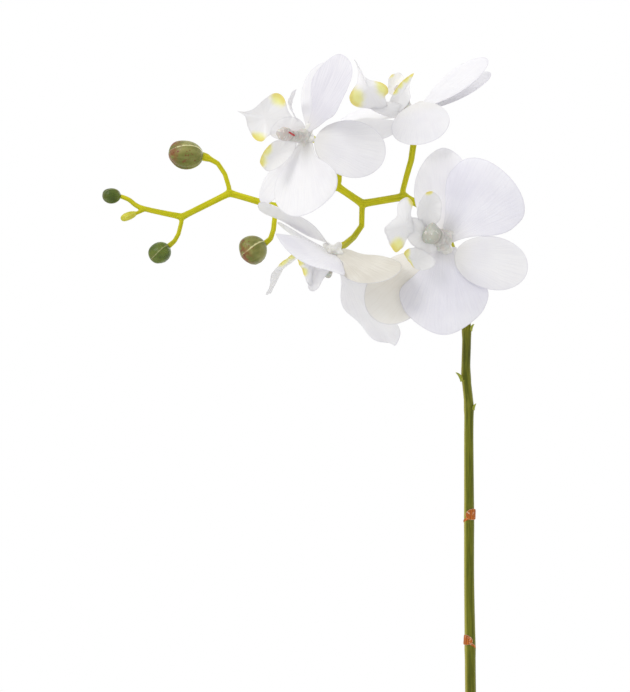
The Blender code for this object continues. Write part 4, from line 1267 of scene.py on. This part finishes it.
# %% Roots
root_finish = Finish("root_grey", bend=1.4, sheen=0.15)
flow, place = root_finish.mark("flow"), root_finish.place()
age = root_finish.mark("edge", "Fac")
fibres = flow.stretch((0.25, 1.2, 1.2)).noise(1.0, 4)
cloud = place.noise(190, 3)
tint = fibres.ramp(0.35, 0.65).between("9aa08c", "c6cab8")
tint = tint.coat(cloud.ramp(0.5, 0.7) * 0.6, "7f8a68")
tint = tint.coat(cloud.ramp(0.42, 0.32) * 0.5, "a08a68")
tint = tint.coat(age.ramp(0.35, 0.9), "7d9c3a")
root_finish.dress(tint, 0.75 - age * 0.35, fibres + cloud, 0.0009, 0.6)

ROOTS = {
    "root_1": ((-14, -4, 99, 2.4), (-24, -18, 103, 2.5), (-36, -36, 112, 2.6), (-45, -47, 117.5, 2.6),
               (-51.5, -53.5, 112, 2.5), (-53, -55.5, 98, 2.4), (-49, -57, 84, 2.3), (-43, -59, 73, 2.0),
               (-39, -61, 67, 1.2)),
    "root_2": ((5.5, -2, 99.5, 2.3), (17, -14, 99.5, 2.4), (28, -20, 99.8, 2.4), (38, -17, 98.8, 2.2),
               (45, -10, 97.8, 1.9), (48, -2, 97, 1.1)),
    "root_3": ((-9, 14, 99, 2.3), (-14, 25, 99.6, 2.4), (-10, 36, 99, 2.3), (0, 43, 98, 2.0), (9, 45, 97, 1.2)),
}


def rounded(route):
    """The route, led back to the crown at its start and rounded off at its tip."""
    route = np.array(route, float)
    start = np.array([(*(np.array((*CROWN_AXIS, route[0, 2] + 0.5)) * 0.6 + route[0, :3] * 0.4), route[0, 3])])
    fine = smooth_route(np.vstack([start, route]), 10)
    onward = unit(fine[-1, :3] - fine[-2, :3])
    past = ((0.45, 0.9), (0.8, 0.66), (1.0, 0.3))
    caps = [(*(fine[-1, :3] + onward * ahead), fine[-1, 3] * share) for ahead, share in past]
    fine[:, 3] *= 1 + 0.05 * np.sin(np.arange(len(fine)) * 0.7) * np.sin(np.arange(len(fine)) * 0.23)
    return np.vstack([fine, caps])


for name, route in ROOTS.items():
    line = line_object(name, [rounded(route)], 1)
    mesh = grow(line, tube_tree, {"Sides": 28, "Fatten": 0.0, "Finish": root_finish.material}, name)
    tip = np.array(route[-1][:3])
    mark_along(mesh, [route], lambda points: np.clip(1 - np.linalg.norm(points - tip, axis=1) / 9, 0, 1))
    dress_solid(name, mesh, root_finish, "root_grey")

# %% [markdown]
# ## Potting bark
#
# Orchids grow in coarse chips of pine bark. The dark bed fills the pot, and the chips lie on it by a scatter tree:
# points at a least distance from each other, a small block on each at its own turn, tilt and size, and a little noise
# that moves every corner once the blocks are real, so that no two chips are the same. A share written on each block
# says how light its bark is.

# %% Bark finish
bark_finish = Finish("bark_brown", bend=1.4)
place = bark_finish.place()
shade = bark_finish.mark("shade", "Fac")
layers = place.stretch((1.0, 1.0, 5.0)).noise(170, 4, 0.6)
grain = place.noise(900, 3)
tint = shade.between("45301f", "8d6745")
tint = tint.coat(layers.ramp(0.42, 0.62) * 0.7, "2e1f15")
tint = tint.coat(grain.ramp(0.58, 0.7) * 0.5, "a98660")
bark_finish.dress(tint, 0.7 + grain * 0.25, layers + grain * 0.4, 0.0012, 0.8)


# %% Bark bed
def bark_height(x, y):
    lumps = np.sin(0.21 * x + 1.3 * np.sin(0.13 * y)) * np.cos(0.24 * y + 0.9 * np.sin(0.17 * x))
    heaped = 95 + 1.6 * lumps - 0.0012 * (x * x + y * y)
    from_crown = np.hypot(x - CROWN_AXIS[0], y - CROWN_AXIS[1])
    return np.minimum(heaped, 89.8 + 0.9 * np.maximum(from_crown - CROWN_RADIUS - 1.5, 0))


def wall_radius(height):
    """The pot's outer radius under its rim band."""
    return 45 + 16 * height / 98


def bed_rings(reach, shares, lift):
    """Rings of the bed's surface, from the pot's wall in to the crown."""
    shares = shares[:, None, None]
    ground = np.array(CROWN_AXIS) * (1 - shares) + circle * (reach * shares)
    return np.concatenate([ground, bark_height(ground[..., 0], ground[..., 1])[..., None] + lift], axis=-1)


BED_STEPS, FIELD_ROWS = 160, 24
turn = np.linspace(0, 2 * math.pi, BED_STEPS, endpoint=False)
circle = np.stack([np.cos(turn), np.sin(turn)], axis=-1)
edge_radius = wall_radius(89) - 5.2
top = bed_rings(edge_radius, np.linspace(1, 0.02, 44), 0)
top[0, :, 2] -= 2
SIDES = ((7.4, 15), (7.4, 41), (60, 49.2))  # height and radius of the bed's underside and wall
lower = [np.column_stack([circle * radius, np.full(BED_STEPS, height)]) for height, radius in SIDES]
rings = np.concatenate([np.array(lower), top])
bed = skin("potting_bark", rings, 0 * rings, 0 * rings[..., 0])
bed.attributes.new("shade", "FLOAT", "POINT").data.foreach_set("value", [0.1] * len(bed.vertices))
print("bark bed:", len(bed.polygons), "faces")

# %% Chip tree
chip_tree = new_tree("chips", (("Least Distance", "Float"), ("Seed", "Int"), ("Finish", "Material")))
spread = chip_tree.node("GeometryNodeDistributePointsOnFaces", {"distribute_method": "POISSON"},
                        {"Mesh": chip_tree.given("Geometry"), "Density Max": 90000.0,
                         "Distance Min": chip_tree.given("Least Distance"),
                         "Seed": chip_tree.given("Seed")})
size = {"Size": (0.0088, 0.006, 0.0026), "Vertices X": 4, "Vertices Y": 3, "Vertices Z": 2}
block = chip_tree.node("GeometryNodeMeshCube", values=size)


def chance(kind, low, high, seed, out=0):
    """A random value for each chip; only vectors and floats are asked for."""
    ends = ("Min", "Max") if kind == "FLOAT_VECTOR" else ("Min_001", "Max_001")
    values = {ends[0]: low, ends[1]: high, "Seed": seed}
    return chip_tree.node("FunctionNodeRandomValue", {"data_type": kind}, values, out=out)


turned = chance("FLOAT_VECTOR", (-0.4, -0.4, 0.0), (0.4, 0.4, 6.28), 3)
sized = chance("FLOAT_VECTOR", (0.6, 0.6, 0.6), (1.35, 1.3, 1.4), 5)
light = chance("FLOAT", 0.0, 1.0, 9, "Value_001")
laid = {"Points": spread, "Instance": block, "Rotation": turned, "Scale": sized}
chips = chip_tree.node("GeometryNodeInstanceOnPoints", values=laid)
named = chip_tree.node("GeometryNodeStoreNamedAttribute", {"data_type": "FLOAT", "domain": "INSTANCE"},
                       {"Geometry": chips, "Name": "shade", "Value": light})
real = chip_tree.node("GeometryNodeRealizeInstances", values={"Geometry": named})
where = chip_tree.node("GeometryNodeInputPosition")
jitter = chip_tree.node("ShaderNodeTexNoise", values={"Vector": where, "Scale": 260.0, "Detail": 2.0}, out="Color")
lowered = {"Vector": jitter, "Vector_001": (0.5, 0.5, 0.5)}
middled = chip_tree.node("ShaderNodeVectorMath", {"operation": "SUBTRACT"}, lowered)
moved = middled.stretch((0.0055, 0.0055, 0.0035))
rough = chip_tree.node("GeometryNodeSetPosition", values={"Geometry": real, "Offset": moved})
finish_tree(chip_tree, rough)

field = bed_rings(edge_radius - 1, np.linspace(0.95, 0.24, FIELD_ROWS), 0.8).reshape(-1, 3) * MM
starts = range(0, (FIELD_ROWS - 1) * BED_STEPS, BED_STEPS)
cells = [(start + c, start + (c + 1) % BED_STEPS) for start in starts for c in range(BED_STEPS)]
chip_field = bpy.data.meshes.new("chip_field")
chip_field.from_pydata(field.tolist(), [], [(a, b, b + BED_STEPS, a + BED_STEPS) for a, b in cells])
field_object = stand("chip_field", chip_field)
scatter = {"Least Distance": 0.0036, "Seed": 11, "Finish": bark_finish.material}
chip_mesh = grow(field_object, chip_tree, scatter, "chips")
piece = dress_solid("potting_bark", join("potting_bark", [bed, chip_mesh]), bark_finish, "bark_brown")
piece.data.set_sharp_from_angle(angle=math.radians(38))

# %% [markdown]
# ## The pot
#
# The pot was thrown on a wheel: its wall is not quite smooth, but holds the low rings that fingers leave. The glaze is
# a warm white with iron specks, thinner and browner on the sharp edges of the rim, and it stops above the foot, where
# the bare clay shows. The profile is drawn once, inside and out, and turned.

# %% Pot finish
pot_finish = Finish("pot_glaze", bend=1.5, coat_rough=0.06)
place = pot_finish.place()
x, y, z = (place.part(axis) for axis in "XYZ")
thin = pot_finish.mark("edge", "Fac")
drift = place.noise(30, 3)
specks = place.noise(760, 1, 0.4).ramp(0.69, 0.73)
large_specks = place.noise(300, 1, 0.3).ramp(0.72, 0.75)
waves = place.noise(140, 2)
bare = (z + (drift - 0.5) * 0.004).ramp(0.0046, 0.0036)
glaze = drift.ramp(0.35, 0.65).between("e3ded2", "f0ece3")
glaze = glaze.coat((thin + (waves - 0.5) * 0.5).ramp(0.45, 0.95) * 0.7, "b58d62")
glaze = glaze.coat(specks * 0.75, "6b5138")
glaze = glaze.coat(large_specks * 0.6, "8a6a4a")
clay = place.noise(1200, 3).ramp(0.35, 0.65).between("a9714c", "c08e68")
pot_finish.vary("Coat Weight", (1 - bare) * 0.5)
pot_finish.dress(glaze.coat(bare, clay), 0.16 + bare * 0.6 + waves * 0.06 + specks * 0.1,
                 waves * 0.25 + specks * 0.08 + bare * place.noise(1500, 2), 0.0004, 0.35)

# %% Pot
BAND, RIM_RADIUS, WALL = 98, 63.8, 4.5  # height of the rim's band, its radius, and how thick the wall is
profile = [(2, 7.0), (20, 7.0), (38, 7.0), (41.4, 7.6), (wall_radius(10) - WALL, 10.5)]
profile += [(wall_radius(z) - WALL, z) for z in (30, 60, BAND)]
profile += [(58.6, 104), (58.7, 110.2), (59.3, 111.5), (60.6, 112), (62.2, 111.9), (63.3, 111.3), (RIM_RADIUS, 110),
            (RIM_RADIUS, 105), (63.5, 100.4), (62.9, 98.9), (61.6, 98.0), (60.8, 96.9), (60.4, 94)]
profile += [(wall_radius(z), z) for z in np.linspace(88, 8, 14)]
profile += [(45.4, 4.2), (45.0, 3.2), (44.3, 2.0), (44.0, 1.0), (43.4, 0.25), (42.6, 0), (39.6, 0), (38.6, 0.5),
            (37.8, 1.6), (35, 2.2), (20, 2.3), (2, 2.3)]
fine = smooth_route([(r, 0, z, 0) for r, z in profile], 6)
radius, height = fine[:, 0], fine[:, 2].clip(0)
outer = (np.arange(len(fine)) > len(fine) * 0.5) & (height > 6) & (height < 96)
radius = radius + outer * 0.16 * np.sin(height * 0.62 + 1.4 * np.sin(height * 0.11)) * np.clip((96 - height) / 8, 0, 1)
turn = np.linspace(0, 2 * math.pi, 180, endpoint=False)
radius = radius[:, None] * (1 + 0.0012 * np.sin(2 * turn + 0.7) * (height > 20)[:, None])
heights = np.broadcast_to(height[:, None], radius.shape)
rings = np.stack([radius * np.cos(turn), radius * np.sin(turn), heights], axis=-1)
worn = np.exp(-(((height - 111.9) / 0.9) ** 2)) + 0.8 * np.exp(-(((height - 99.4) / 0.9) ** 2)) * (fine[:, 0] > 61)
worn = np.broadcast_to(worn[:, None], radius.shape)
dress_solid("pot", skin("pot", rings, 0 * rings, worn), pot_finish, "pot_glaze")
